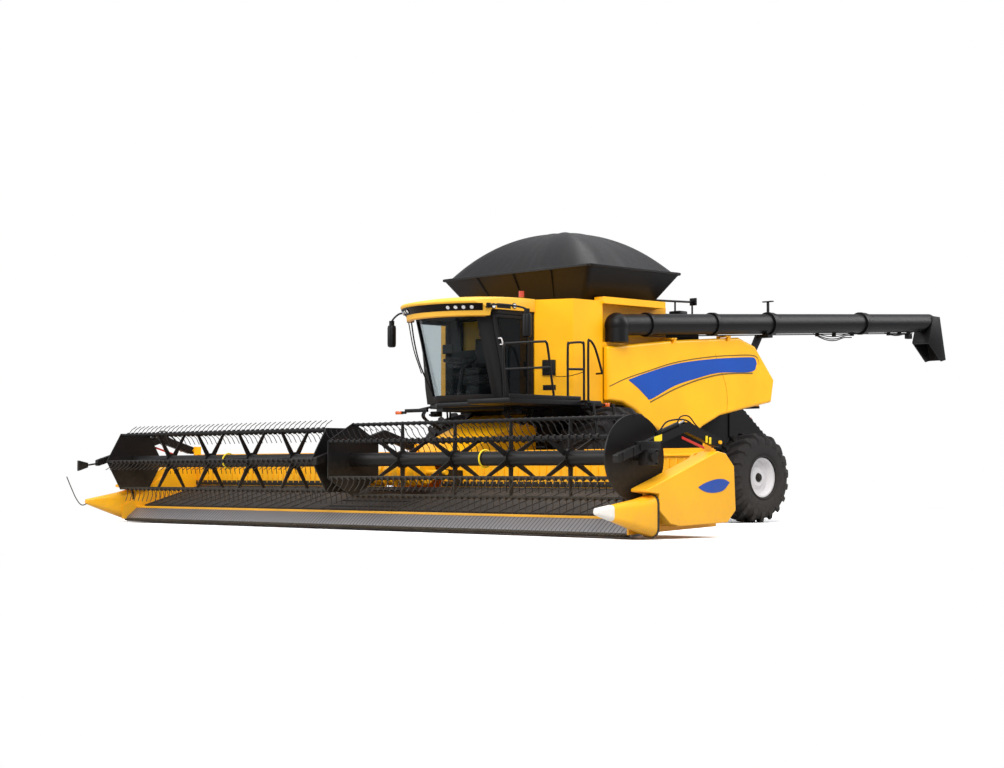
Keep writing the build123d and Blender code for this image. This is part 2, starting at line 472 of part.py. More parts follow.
# ---- mirrors and lamps --------------------------------------------------------------------------
for side, name in ((1, "left"), (-1, "right")):
    base = block(side * 1020, side * 1050, 1870, 1930, 3480, 3540)
    stalk = base + rod((side * 1035, 1900, 3510), (side * 1640, 2130, 3400), 16)
    glass = Pos(side * 1640, aft(2150), 3160) * Box(200, 90, 370)
    save(f"mirror_{name}", stalk + glass + rod((side * 1640, 2140, 3300), (side * 1640, 2130, 3400), 16))
beacon = Pos(850, aft(2800), 3690 + 50) * Cylinder(45, 100)
save("beacons", Compound(children=[beacon, mirror_x(beacon)]))
marker = block(2050, 2300, 3330, 3390, 1935, 1995)
save("marker_lamps", Compound(children=[marker, block(-1900, -1000, 2720, 2780, 1840 + 70, 1900 + 70)]))
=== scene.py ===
# Combine harvester with a draper header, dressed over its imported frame. Metres; it faces -Y, +X is its left.
import math

import bpy
from mathutils import Matrix, Vector


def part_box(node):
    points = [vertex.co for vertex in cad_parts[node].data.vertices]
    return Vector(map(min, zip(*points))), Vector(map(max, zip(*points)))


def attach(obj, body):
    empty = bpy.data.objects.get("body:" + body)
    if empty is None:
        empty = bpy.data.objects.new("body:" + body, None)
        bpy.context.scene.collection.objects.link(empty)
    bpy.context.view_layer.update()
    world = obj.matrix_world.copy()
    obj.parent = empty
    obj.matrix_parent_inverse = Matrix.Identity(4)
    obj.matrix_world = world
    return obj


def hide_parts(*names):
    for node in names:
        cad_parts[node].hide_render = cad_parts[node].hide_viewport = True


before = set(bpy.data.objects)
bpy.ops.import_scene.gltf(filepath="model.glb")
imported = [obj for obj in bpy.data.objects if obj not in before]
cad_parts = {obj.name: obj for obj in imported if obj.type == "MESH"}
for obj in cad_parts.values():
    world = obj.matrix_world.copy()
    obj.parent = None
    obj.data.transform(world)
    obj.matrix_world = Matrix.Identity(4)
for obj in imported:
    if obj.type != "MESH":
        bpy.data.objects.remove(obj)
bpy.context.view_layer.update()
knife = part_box("cutterbar")[1][1] - 0.060   # the line of the knife, from which distances are measured back
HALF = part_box("header_frame")[1][0]         # half the width between the end sheets of the header

# ---- Camera, floor and light -----------------------------------------------------------------------
# A plain studio: a pale floor without an edge, a white surround and soft lamps high above the machine.
# The camera stands low, ahead and to the left, as a person standing some way off.


def linear(code):
    """A colour written as sRGB hex, as the linear values that the shaders use."""
    parts = [int(code[i:i + 2], 16) / 255 for i in (1, 3, 5)]
    return tuple(p / 12.92 if p <= 0.04045 else ((p + 0.055) / 1.055) ** 2.4 for p in parts) + (1.0,)


def node(tree, kind, inputs=(), **settings):
    """Adds one shader node; inputs are (socket, value) or (socket, (other node, output))."""
    made = tree.nodes.new(kind)
    for setting, value in settings.items():
        setattr(made, setting, value)
    for socket, value in inputs:
        if isinstance(value, tuple) and hasattr(value[0], "outputs"):
            tree.links.new(value[0].outputs[value[1]], made.inputs[socket])
        else:
            made.inputs[socket].default_value = value
    return made


def blank(name):
    """A new material and its tree of shader nodes, still empty."""
    made = bpy.data.materials.new(name)
    made.use_nodes = True
    made.node_tree.nodes.clear()
    return made, made.node_tree


scene = bpy.context.scene
scene.view_settings.view_transform = "Standard"

bpy.ops.object.camera_add(location=(22.776, -24.300, 0.848),
                          rotation=(math.radians(92.723), 0, math.radians(46.83)))
camera = bpy.context.object
camera.data.sensor_width = 36.0
camera.data.lens = 67.76
camera.data.clip_end = 400.0
scene.camera = camera

world = bpy.data.worlds.new("white_surround")
scene.world = world
world.use_nodes = True
sky = world.node_tree
sky.nodes.clear()
ray = node(sky, "ShaderNodeLightPath")
seen = node(sky, "ShaderNodeMath", [(0, (ray, "Is Camera Ray")), (1, (ray, "Is Transmission Ray"))],
            operation="MAXIMUM")
lit = node(sky, "ShaderNodeBackground", [("Color", linear("#F4F6FA")), ("Strength", 0.62)])
white = node(sky, "ShaderNodeBackground", [("Color", (1.0, 1.0, 1.0, 1.0)), ("Strength", 1.0)])
either = node(sky, "ShaderNodeMixShader", [(0, (seen, 0)), (1, (lit, 0)), (2, (white, 0))])
node(sky, "ShaderNodeOutputWorld", [("Surface", (either, 0))])

LAMPS = [  # name, place, side of the square, power in watts
    ("key_lamp", (14.0, -16.0, 17.0), 14.0, 5200.0),
    ("front_lamp", (-12.0, -20.0, 12.0), 12.0, 2600.0),
    ("rear_lamp", (10.0, 16.0, 14.0), 12.0, 2400.0),
    ("top_lamp", (0.0, 0.0, 20.0), 18.0, 3200.0),
]
for lamp_name, place, side, power in LAMPS:
    aim = (Vector((0, 0, 1.5)) - Vector(place)).to_track_quat("-Z", "Y").to_euler()
    bpy.ops.object.light_add(type="AREA", location=place, rotation=aim)
    lamp = bpy.context.object
    lamp.name = lamp_name
    lamp.data.size = side
    lamp.data.energy = power

bpy.ops.mesh.primitive_plane_add(size=400.0, location=(0, 0, 0))
floor = bpy.context.object
floor.name = "studio_floor"
studio, tree = blank("matt_white_floor")
ray = node(tree, "ShaderNodeLightPath")
pale = node(tree, "ShaderNodeBsdfDiffuse", [("Color", (1.0, 1.0, 1.0, 1.0))])
dim = node(tree, "ShaderNodeBsdfDiffuse", [("Color", linear("#B9B9B9"))])
# well away from the machine, where no shadow falls, the floor glows as white as the surround
place = node(tree, "ShaderNodeTexCoord")
spread = node(tree, "ShaderNodeVectorMath", [(0, (place, "Object"))], operation="LENGTH")
away = node(tree, "ShaderNodeMapRange", [("Value", (spread, "Value")), ("From Min", 9.0), ("From Max", 15.0)])
glow = node(tree, "ShaderNodeEmission", [("Color", (1.0, 1.0, 1.0, 1.0)), ("Strength", 1.0)])
near_far = node(tree, "ShaderNodeMixShader", [(0, (away, 0)), (1, (pale, 0)), (2, (glow, 0))])
both = node(tree, "ShaderNodeMixShader", [(0, (ray, "Is Camera Ray")), (1, (dim, 0)), (2, (near_far, 0))])
node(tree, "ShaderNodeOutputMaterial", [("Surface", (both, 0))])
floor.data.materials.append(studio)

# ---- Body panels and frame -------------------------------------------------------------------------
# The body panels and the header are pressed steel with a factory coat of warm yellow; what carries them is
# black. Both coats are even and satin, with a faint orange peel and a trace of road dust low down.


def paint(name, colour, roughness, peel=0.02, dust="#8C7B60", dust_top=1.2, metallic=0.0, coat=0.0,
          gloss=0.35):
    """Stoved enamel: one colour with a faint cloudiness, fine orange peel and dust near the ground."""
    made, tree = blank(name)
    place = node(tree, "ShaderNodeTexCoord")
    # clouds about 0.8 m across: panels never reflect the same all over
    here = (place, "Object")
    clouds = node(tree, "ShaderNodeTexNoise", [("Vector", here), ("Scale", 1.3), ("Detail", 3.0)])
    tone = node(tree, "ShaderNodeValToRGB", [(0, (clouds, "Fac"))])
    base = Vector(linear(colour)[:3])
    tone.color_ramp.elements[0].color = (*(base * 0.90), 1.0)
    tone.color_ramp.elements[1].color = (*(base * 1.03), 1.0)
    tone.color_ramp.elements[0].position = 0.35
    tone.color_ramp.elements[1].position = 0.65
    # dust settles on the lowest parts only, broken up by a mottle about 60 mm across
    height = node(tree, "ShaderNodeSeparateXYZ", [(0, here)])
    mottle = node(tree, "ShaderNodeTexNoise", [("Vector", here), ("Scale", 16.0), ("Detail", 5.0)])
    low = node(tree, "ShaderNodeMapRange", [("Value", (height, "Z")), ("From Min", dust_top),
                                             ("From Max", 0.0), ("To Max", 0.35)])
    amount = node(tree, "ShaderNodeMath", [(0, (low, 0)), (1, (mottle, "Fac"))], operation="MULTIPLY")
    coated = node(tree, "ShaderNodeMix", [("Factor", (amount, 0)), (6, (tone, 0)), (7, linear(dust))],
                  data_type="RGBA")
    sheen = node(tree, "ShaderNodeMapRange", [("Value", (mottle, "Fac")), ("To Min", roughness - 0.05),
                                               ("To Max", roughness + 0.09)])
    # orange peel is 2 to 3 mm across and is drawn at about 12 mm, the finest that shows
    ripple = node(tree, "ShaderNodeTexNoise", [("Vector", here), ("Scale", 80.0), ("Detail", 1.0)])
    bump = node(tree, "ShaderNodeBump", [("Height", (ripple, "Fac")), ("Strength", peel),
                                          ("Distance", 0.002)])
    skin = node(tree, "ShaderNodeBsdfPrincipled", [("Base Color", (coated, 2)), ("Roughness", (sheen, 0)),
                                                    ("Normal", (bump, 0)), ("Metallic", metallic),
                                                    ("Specular IOR Level", gloss),
                                                    ("Coat Weight", coat), ("Coat Roughness", 0.12)])
    node(tree, "ShaderNodeOutputMaterial", [("Surface", (skin, 0))])
    return made


def dress(material, *names):
    """Gives CAD nodes their finish."""
    for name in names:
        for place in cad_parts[name].material_slots:
            place.material = material


yellow = paint("stoved_yellow_enamel", "#FFB608", 0.36, coat=0.10)
black = paint("satin_black_enamel", "#0B0A0C", 0.42, peel=0.04, gloss=0.22)
chassis = paint("chassis_black_paint", "#121113", 0.6, peel=0.05, gloss=0.22)
dress(yellow, "grain_tank", "side_panel_left", "side_panel_right", "rear_hood", "header_frame", "header_deck",
      "header_ribs", "header_ends", "end_shields", "feeder_house", "feed_drum")
dress(black, "reel_arm_left", "reel_arm_right", "reel_arm_centre", "unloading_auger", "auger_base",
      "auger_cradle", "straw_chute", "ladder", "drum_hangers")
dress(chassis, "chassis_frame", "front_axle", "rear_axle", "rear_knuckle_left", "rear_knuckle_right",
      "threshing_body", "engine_block", "engine_deck", "lift_barrel_left", "lift_barrel_right")

# ---- Tyres -----------------------------------------------------------------------------------------
# Deep-lugged tractor tyres of vulcanised rubber, cast in one piece with their lugs in the mould, on rims of
# painted steel. The lugs run from the middle to both shoulders in a chevron, the sides half a pitch apart.


def fresh():
    """Nothing stays selected, so that the next operator acts on its own piece alone."""
    bpy.ops.object.select_all(action="DESELECT")


def chosen(piece):
    """Makes a piece the active one, and the only one selected."""
    fresh()
    piece.select_set(True)
    bpy.context.view_layer.objects.active = piece


def outwards(merge=None, holes=None):
    """Merges the active mesh's points that lie together, fills its open ends and turns its faces outwards."""
    bpy.ops.object.mode_set(mode="EDIT")
    bpy.ops.mesh.select_all(action="SELECT")
    if merge is not None:
        bpy.ops.mesh.remove_doubles(threshold=merge)
    if holes is not None:
        bpy.ops.mesh.fill_holes(sides=holes)
        bpy.ops.mesh.select_all(action="SELECT")
    bpy.ops.mesh.normals_make_consistent(inside=False)
    bpy.ops.object.mode_set(mode="OBJECT")


def shaped(piece, place):
    """Puts each vertex of a primitive where place(x, y, z) says."""
    for vertex in piece.data.vertices:
        vertex.co = place(*vertex.co)


def outline_ring(name, points):
    """A closed ring of edges through the points, started as a circle."""
    fresh()
    bpy.ops.mesh.primitive_circle_add(vertices=len(points), radius=1.0, fill_type="NOTHING")
    ring = bpy.context.object
    ring.name = name
    for vertex, point in zip(ring.data.vertices, points):
        vertex.co = point
    return ring


def spun(ring, centre, axis, steps):
    """Turns a ring once round an axis and closes the seam."""
    bpy.ops.object.mode_set(mode="EDIT")
    bpy.ops.mesh.select_all(action="SELECT")
    bpy.ops.mesh.spin(steps=steps, angle=math.tau, center=centre, axis=axis)
    bpy.ops.object.mode_set(mode="OBJECT")
    outwards(merge=0.0005)


def cuts(piece, number):
    """Subdivides every face of a piece."""
    bpy.ops.object.mode_set(mode="EDIT")
    bpy.ops.mesh.select_all(action="SELECT")
    bpy.ops.mesh.subdivide(number_cuts=number)
    bpy.ops.object.mode_set(mode="OBJECT")


def one_mesh(name, parts):
    """Joins parts into one piece."""
    fresh()
    for part in parts:
        part.select_set(True)
    bpy.context.view_layer.objects.active = parts[0]
    if len(parts) > 1:
        bpy.ops.object.join()
    joined = bpy.context.object
    joined.name = name
    return joined


def copied(piece, name, matrix):
    """A copy with its own mesh, moved by a matrix; a mirrored copy gets its faces turned outwards."""
    twin = piece.copy()
    twin.data = piece.data.copy()
    twin.name = name
    bpy.context.collection.objects.link(twin)
    twin.data.transform(matrix)
    if matrix.determinant() < 0:
        twin.data.flip_normals()
    return twin


def fitted(piece, material, body, angle=35.0):
    """Finish, shading, material slot and body of a piece."""
    chosen(piece)
    bpy.ops.object.transform_apply(location=True, rotation=True, scale=True)
    bpy.ops.object.shade_smooth_by_angle(angle=math.radians(angle))
    piece.data.materials.clear()
    piece.data.materials.append(material)
    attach(piece, body)
    return piece


rubber = paint("tyre_rubber", "#1E1C1D", 0.78, dust="#6B6257", dust_top=1.8, gloss=0.25)
silver = paint("silver_white_wheel_paint", "#DAD7D8", 0.36, dust="#A79E90")
dress(silver, "front_rim_left", "front_rim_right", "rear_rim_left", "rear_rim_right")
MIRROR_X = Matrix.Scale(-1, 4, (1, 0, 0))
LUG_DEPTH = 0.052
CASING = [  # share of the width from the inner side, share of the height from rim to casing top
    (0.07, 0.00), (0.02, 0.10), (0.00, 0.28), (0.00, 0.50), (0.015, 0.70), (0.05, 0.86), (0.13, 0.955),
    (0.30, 0.99), (0.50, 1.00), (0.70, 0.99), (0.87, 0.955), (0.95, 0.86), (0.985, 0.70), (1.00, 0.50),
    (1.00, 0.28), (0.98, 0.10), (0.93, 0.00)]
WHEELS = [("front", 20, 0.440), ("rear", 19, 0.345)]   # axle, lugs on each side, radius of the rim
for end, lug_count, rim_radius in WHEELS:
    low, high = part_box(f"{end}_tyre_left")
    width = high[0] - low[0]
    axle_y, axle_z = (low[1] + high[1]) / 2, (low[2] + high[2]) / 2
    top = (high[2] - low[2]) / 2
    rise = top - LUG_DEPTH - rim_radius
    section = [(low[0] + width * across, axle_y, axle_z + rim_radius + rise * up) for across, up in CASING]
    casing = outline_ring("casing", section)
    spun(casing, (0, axle_y, axle_z), (1, 0, 0), 96)
    parts = [casing]
    pitch = math.tau / lug_count
    for side in (-1, 1):
        for number in range(lug_count):
            fresh()
            bpy.ops.mesh.primitive_cube_add(size=1.0)
            lug = bpy.context.object
            cuts(lug, 3)
            start_turn = number * pitch + (0 if side > 0 else pitch / 2)

            def on_tread(u, v, w):
                along = u + 0.5
                out = (along * 1.04 - 0.03) * width / 2
                turn = start_turn - 0.82 * pitch * along ** 0.85
                drop = max(0.0, along - 0.72) / 0.28
                base = rim_radius + rise * (0.93 - 0.30 * drop)
                crest = top - 0.012 * along ** 2 - 0.095 * drop ** 1.7
                half = (0.034 + 0.012 * along) * (1.25 - 0.35 * (w + 0.5))
                radius = base + (w + 0.5) * (crest - base)
                reach = min(out, width / 2 - 0.002 * (w + 0.5))
                angle = turn + v * 2 * half / radius
                return (low[0] + width / 2 + side * reach, axle_y + radius * math.cos(angle),
                        axle_z + radius * math.sin(angle))

            shaped(lug, on_tread)
            if side < 0:
                lug.data.flip_normals()
            parts.append(lug)
    # the bead ring and two moulded rings round the outer side wall
    for up, thick in ((0.06, 0.016), (0.34, 0.006), (0.62, 0.006)):
        for face in (low[0], high[0]):
            fresh()
            inward = 0.01 if face == low[0] else -0.01
            bpy.ops.mesh.primitive_torus_add(location=(face + inward, axle_y, axle_z),
                                             rotation=(0, math.pi / 2, 0),
                                             major_radius=rim_radius + rise * up, minor_radius=thick,
                                             major_segments=72, minor_segments=6)
            parts.append(bpy.context.object)
    tyre = one_mesh(f"{end}_tyre_tread_left", parts)
    twin = copied(tyre, f"{end}_tyre_tread_right", MIRROR_X)
    for piece, side in ((tyre, "left"), (twin, "right")):
        fitted(piece, rubber, f"{end}_wheel_{side}")
        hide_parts(f"{end}_tyre_{side}")

# ---- Tank cover ------------------------------------------------------------------------------------
# Coated black cloth, sewn from eight gores over sprung battens and lashed over the rim of the extension.
# The battens hold it up to a low dome; between them the cloth sags a little and wrinkles at the hem.
cloth = paint("coated_black_cloth", "#0D0C0E", 0.46, gloss=0.3)
CLOTH_THICK = 0.004
RIM_HALF, RIM_FRONT, RIM_REAR = 1.79, 3.41, 5.63   # the rim under the cover
OVERHANG = 0.008
low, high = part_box("tank_cover")
half_x, half_y = RIM_HALF + OVERHANG, (RIM_REAR - RIM_FRONT) / 2 + OVERHANG
centre = (0.0, knife + (RIM_FRONT + RIM_REAR) / 2)
dome = high[2] - low[2]
fresh()
bpy.ops.mesh.primitive_circle_add(vertices=160, radius=1.0, fill_type="NOTHING")
cover = bpy.context.object
bpy.ops.object.mode_set(mode="EDIT")
bpy.ops.mesh.select_all(action="SELECT")
RINGS = 26
for ring in range(RINGS - 1):
    bpy.ops.mesh.extrude_region_move()
    bpy.ops.transform.resize(value=[(RINGS - 1 - ring) / (RINGS - ring)] * 3)
bpy.ops.mesh.merge(type="CENTER")
bpy.ops.object.mode_set(mode="OBJECT")


def applied(piece, kind, **settings):
    """Puts a modifier on a piece, sets it and applies it."""
    chosen(piece)
    bpy.ops.object.modifier_add(type=kind)
    step = piece.modifiers[0]
    for setting, value in settings.items():
        setattr(step, setting, value)
    bpy.ops.object.modifier_apply(modifier=step.name)
    return piece


def rim_reach(angle):
    """Distance from the middle to the rim, a rectangle with well-rounded corners."""
    c, s = abs(math.cos(angle)) / half_x, abs(math.sin(angle)) / half_y
    return (c ** 9 + s ** 9) ** (-1 / 9)


CORNER = math.atan2(half_y, half_x)
BATTENS = [0, CORNER, math.pi / 2, math.pi - CORNER, math.pi, math.pi + CORNER, 1.5 * math.pi,
           math.tau - CORNER, math.tau]


def on_dome(x, y, z):
    """Lays the flat disc over the battens: a dome with slack, ripples and folds between them."""
    t = math.hypot(x, y)
    angle = math.atan2(y, x) % math.tau
    gore = next(i for i in range(8) if angle <= BATTENS[i + 1] + 1e-9)
    between = (angle - BATTENS[gore]) / (BATTENS[gore + 1] - BATTENS[gore])
    slack = math.sin(math.pi * between)
    height = dome * (1 - t ** 2.2) - 0.075 * slack * t * (1.12 - t)
    hem_ripple = 0.008 * math.sin(angle * 37 + 6 * t) * t ** 6
    fold = 0.012 * math.sin(between * 9 + gore) * slack * t ** 3
    height += hem_ripple + fold
    height += 0.007 * math.sin(9 * t + 23 * between + 2 * gore) * slack * t * (1.05 - t)
    pull = 1 - 0.018 * slack * t ** 3
    reach = rim_reach(angle) * t * pull
    return (centre[0] + reach * math.cos(angle), centre[1] + reach * math.sin(angle),
            low[2] + max(height, 0.0))


shaped(cover, on_dome)
outwards()
cover.name = "tank_cover_cloth"
applied(cover, "SOLIDIFY", thickness=CLOTH_THICK)
fitted(cover, cloth, "machine", angle=60)
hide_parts("tank_cover")

# ---- Films on the panels ---------------------------------------------------------------------------
# Cut vinyl stripes, glued on: a plain blue one and two thin lines that sweep back and up over each side
# panel, and a small blue leaf on each end shield. A fine dark line marks the joint between two panels.


def smooth(points, fine):
    """A soft curve through a few points (Catmull-Rom), with so many steps between each two."""
    points = [Vector(p) for p in points]
    points = [2 * points[0] - points[1]] + points + [2 * points[-1] - points[-2]]
    path = []
    for i in range(1, len(points) - 2):
        p0, p1, p2, p3 = points[i - 1:i + 3]
        for k in range(fine):
            t = k / fine
            path.append(0.5 * (2 * p1 + (p2 - p0) * t + (2 * p0 - 5 * p1 + 4 * p2 - p3) * t * t
                               + (3 * p1 - p0 - 3 * p2 + p3) * t ** 3))
    return path + [points[-2]]


BEYOND = 8.0   # farther out to the left than any panel


def film(name, lower, upper, panel, steps, rows, lift):
    """A film between two curves of (behind the knife, z), laid on the outer face of a panel."""
    low_edge, high_edge = (smooth([(0, knife + a, z) for a, z in edge], 12) for edge in (lower, upper))
    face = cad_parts[panel]
    fresh()
    bpy.ops.mesh.primitive_grid_add(x_subdivisions=steps, y_subdivisions=rows, size=2.0)
    piece = bpy.context.object
    piece.name = name

    def on_panel(x, y, z):
        u, v = (x + 1) / 2, (y + 1) / 2
        first = low_edge[round(u * (len(low_edge) - 1))]
        last = high_edge[round(u * (len(high_edge) - 1))]
        spot = first.lerp(last, v)
        place = face.ray_cast((BEYOND, spot.y, spot.z), (-1, 0, 0))[1]
        return (place.x + lift, spot.y, spot.z)

    shaped(piece, on_panel)
    applied(piece, "SOLIDIFY", thickness=lift * 0.8, offset=0)
    outwards()
    return piece


blue = paint("blue_vinyl_film", "#0447A6", 0.34, peel=0.0, coat=0.05)
bronze = paint("bronze_vinyl_line", "#6F5A22", 0.4, peel=0.0)
groove = paint("panel_joint_shadow", "#B98410", 0.6, peel=0.0)
STRIPE_TOP = [(4.37, 2.381), (4.77, 2.499), (5.42, 2.663), (5.96, 2.751), (6.54, 2.815), (7.02, 2.853),
              (7.50, 2.881), (7.62, 2.86), (7.665, 2.77)]
STRIPE_FOOT = [(4.37, 2.381), (4.61, 2.25), (4.82, 2.107), (4.93, 2.085), (5.49, 2.314), (6.06, 2.462),
               (6.65, 2.579), (7.51, 2.63), (7.665, 2.77)]
LINE_TOP = [(3.93, 2.262), (4.33, 2.405), (4.87, 2.549), (5.42, 2.690), (5.96, 2.784), (6.54, 2.855),
            (7.02, 2.893), (7.50, 2.918), (7.68, 2.880), (7.73, 2.77)]
LINE_FOOT = [(4.90, 2.030), (5.14, 2.124), (5.49, 2.257), (5.88, 2.378), (6.24, 2.469), (6.65, 2.546),
             (7.09, 2.586), (7.55, 2.604)]
SEAM = [(6.555, 2.905), (6.59, 2.82), (6.72, 2.59), (6.83, 2.36), (6.865, 2.115), (6.85, 1.93)]


def widened(line, half):
    """The lower and the upper edge of a thin line."""
    return [(a, z - half) for a, z in line], [(a, z + half) for a, z in line]


seam_edges = [(a - 0.004, z) for a, z in SEAM], [(a + 0.004, z) for a, z in SEAM]
DECALS = [  # name, lower edge, upper edge, finish, steps, rows, stand-off
    ("side_stripe", STRIPE_FOOT, STRIPE_TOP, blue, 96, 8, 0.0035),
    ("side_line_top", *widened(LINE_TOP, 0.009), bronze, 96, 1, 0.0030),
    ("side_line_foot", *widened(LINE_FOOT, 0.012), bronze, 80, 1, 0.0030),
    ("side_joint", *seam_edges, groove, 40, 1, 0.0025),
]
for title, lower, upper, finish, steps, rows, lift in DECALS:
    left = film(f"{title}_left", lower, upper, "side_panel_left", steps, rows, lift)
    right = copied(left, f"{title}_right", MIRROR_X)
    for piece, side in ((left, "left"), (right, "right")):
        fitted(piece, finish, f"panel_{side}")
LEAF_TOP = [(0.72, 0.672), (0.82, 0.715), (0.95, 0.752), (1.10, 0.778), (1.25, 0.775), (1.36, 0.735)]
LEAF_FOOT = [(0.72, 0.672), (0.80, 0.630), (0.92, 0.602), (1.08, 0.600), (1.24, 0.635), (1.36, 0.735)]
left = film("shield_leaf_left", LEAF_FOOT, LEAF_TOP, "end_shields", 48, 4, 0.003)
right = copied(left, "shield_leaf_right", MIRROR_X)
for piece in (left, right):
    fitted(piece, blue, "header")

# ---- Cab -------------------------------------------------------------------------------------------
# A pressed steel cage with a raked windscreen that leans out over the header; the glass is bonded to it. The
# door is a slim black frame, hung at its rear edge, with one darker pane.


def slab(x0, x1, a0, a1, z0, z1, soft=0.0):
    """A box between two X, two distances behind the knife and two heights, its edges rounded by so much."""
    fresh()
    bpy.ops.mesh.primitive_cube_add(size=1.0, location=((x0 + x1) / 2, knife + (a0 + a1) / 2, (z0 + z1) / 2))
    piece = bpy.context.object
    piece.scale = (abs(x1 - x0), abs(a1 - a0), abs(z1 - z0))
    bpy.ops.object.transform_apply(location=True, rotation=True, scale=True)
    if soft:
        bpy.ops.object.mode_set(mode="EDIT")
        bpy.ops.mesh.select_all(action="SELECT")
        bpy.ops.mesh.bevel(offset=soft, segments=2)
        bpy.ops.object.mode_set(mode="OBJECT")
    return piece


def bar(start, end, radius, sides=14, tip=None):
    """A round bar, or a cone with a tip radius, between two points given as (x, behind the knife, z)."""
    fresh()
    first, last = (Vector((x, knife + a, z)) for x, a, z in (start, end))
    turn = (last - first).to_track_quat("Z", "Y").to_euler()
    bpy.ops.mesh.primitive_cone_add(vertices=sides, radius1=radius, radius2=radius if tip is None else tip,
                                    depth=(last - first).length, location=(first + last) / 2, rotation=turn)
    piece = bpy.context.object
    bpy.ops.object.transform_apply(location=True, rotation=True, scale=True)
    return piece


def skin_over(name, rings):
    """A closed form over rings of equally many points, each given as (x, behind the knife, z)."""
    count, last = len(rings[0]), len(rings) - 1
    fresh()
    bpy.ops.mesh.primitive_grid_add(x_subdivisions=count, y_subdivisions=last, size=2.0)
    piece = bpy.context.object
    piece.name = name

    def on_ring(x, y, z):
        across, a, up = rings[round((y + 1) / 2 * last)][round((x + 1) / 2 * count) % count]
        return (across, knife + a, up)

    shaped(piece, on_ring)
    outwards(merge=0.0002, holes=0)
    return piece


def crosswise(points, x0, x1):
    """An outline of (behind the knife, z) carried from one X to another."""
    return skin_over("crosswise", [[(x, a, z) for a, z in points] for x in (x0, x1)])


def inset(ring, by):
    """A clockwise outline set in by so much, its corners kept sharp."""
    result = []
    for i, point in enumerate(ring):
        before, here, after = Vector(ring[i - 1]), Vector(point), Vector(ring[(i + 1) % len(ring)])
        u, v = (here - before).normalized(), (after - here).normalized()
        nu, nv = Vector((u.y, -u.x)), Vector((v.y, -v.x))
        result.append(tuple(here + (nu + nv) * by / (1 + nu.dot(nv))))
    return result


def cut(piece, tool, how="DIFFERENCE"):
    """Cuts one closed form out of another, or keeps what the two share."""
    applied(piece, "BOOLEAN", operation=how, object=tool)
    fresh()
    tool.select_set(True)
    bpy.ops.object.delete()
    return piece


def softened(piece, width, least=40.0):
    """Rounds the edges of a finished form that are sharper than so many degrees."""
    return applied(piece, "BEVEL", width=width, segments=2, limit_method="ANGLE",
                   angle_limit=math.radians(least))


def pipe(points, radius, sides=10, fine=5):
    """A bent pipe or hose through points given as (x, behind the knife, z)."""
    path = smooth([(x, knife + a, z) for x, a, z in points], fine)
    frames = []
    side = (path[1] - path[0]).orthogonal().normalized()
    for i, spot in enumerate(path):
        ahead = (path[min(i + 1, len(path) - 1)] - path[max(i - 1, 0)]).normalized()
        side = (side - ahead * side.dot(ahead)).normalized()
        frames.append((spot, side, ahead.cross(side)))
    fresh()
    bpy.ops.mesh.primitive_grid_add(x_subdivisions=sides, y_subdivisions=len(path) - 1, size=2.0)
    piece = bpy.context.object

    def on_path(x, y, z):
        spot, across, up = frames[round((y + 1) / 2 * (len(path) - 1))]
        angle = (x + 1) * math.pi
        return spot + radius * (math.cos(angle) * across + math.sin(angle) * up)

    shaped(piece, on_path)
    outwards(merge=radius * 0.05, holes=sides)
    return piece


def pane(name, tint, mirror_share):
    """Safety glass: what is behind it shows through the tint, and the reflection grows at a slant."""
    made, tree = blank(name)
    through = node(tree, "ShaderNodeBsdfTransparent", [("Color", linear(tint))])
    glint = node(tree, "ShaderNodeBsdfPrincipled", [("Base Color", linear("#20262A")), ("Roughness", 0.04),
                                                     ("Specular IOR Level", 0.6)])
    slant = node(tree, "ShaderNodeLayerWeight", [("Blend", 0.35)])
    share = node(tree, "ShaderNodeMapRange", [("Value", (slant, "Facing")), ("To Min", mirror_share),
                                               ("To Max", mirror_share + 0.45)])
    mixed = node(tree, "ShaderNodeMixShader", [(0, (share, 0)), (1, (through, 0)), (2, (glint, 0))])
    node(tree, "ShaderNodeOutputMaterial", [("Surface", (mixed, 0))])
    return made


moulded = paint("matt_black_moulding", "#141415", 0.62, gloss=0.22)
clear = pane("clear_safety_glass", "#F4F8F9", 0.03)
tinted = pane("tinted_safety_glass", "#8C8D93", 0.16)
CAB_FLOOR, CAB_TOP = 2.0, 3.45
CAB_LOW = [(1.0, 2.93), (1.0, 2.40), (0.76, 2.33), (0.40, 2.13)]
CAB_HIGH = [(1.0, 2.93), (1.0, 2.15), (0.80, 1.95), (0.42, 1.69)]
DOORWAY = [(2.345, 2.065), (2.068, 3.38), (2.85, 3.38), (2.85, 2.065)]


def cab_form(by, top=CAB_TOP):
    """The cab as a closed form, set in by so much all round."""
    rings = []
    for half, z in ((CAB_LOW, CAB_FLOOR), (CAB_HIGH, top)):
        ring = inset(half + [(-x, a) for x, a in reversed(half)], by)
        rings.append([(x, a, z) for x, a in ring])
    return skin_over("cab_form", rings)


def doorway(shrink, x0, x1):
    """The outline of the door carried across the cab, made smaller by so much."""
    return crosswise(inset(DOORWAY, shrink) if shrink else DOORWAY, x0, x1)


def windows():
    """The openings for the windscreen, the right side window and the rear window."""
    return [slab(-0.72, 0.72, 1.50, 2.36, 2.12, 3.34), doorway(0.05, -1.2, -0.6),
            slab(-0.70, 0.70, 2.80, 3.00, 2.90, 3.38)]


def layer(outer, inner, top=CAB_TOP + 0.01):
    """A layer of the cab's wall between two depths."""
    return cut(cab_form(outer, top=top), cab_form(inner, top=CLEAR_TOP))


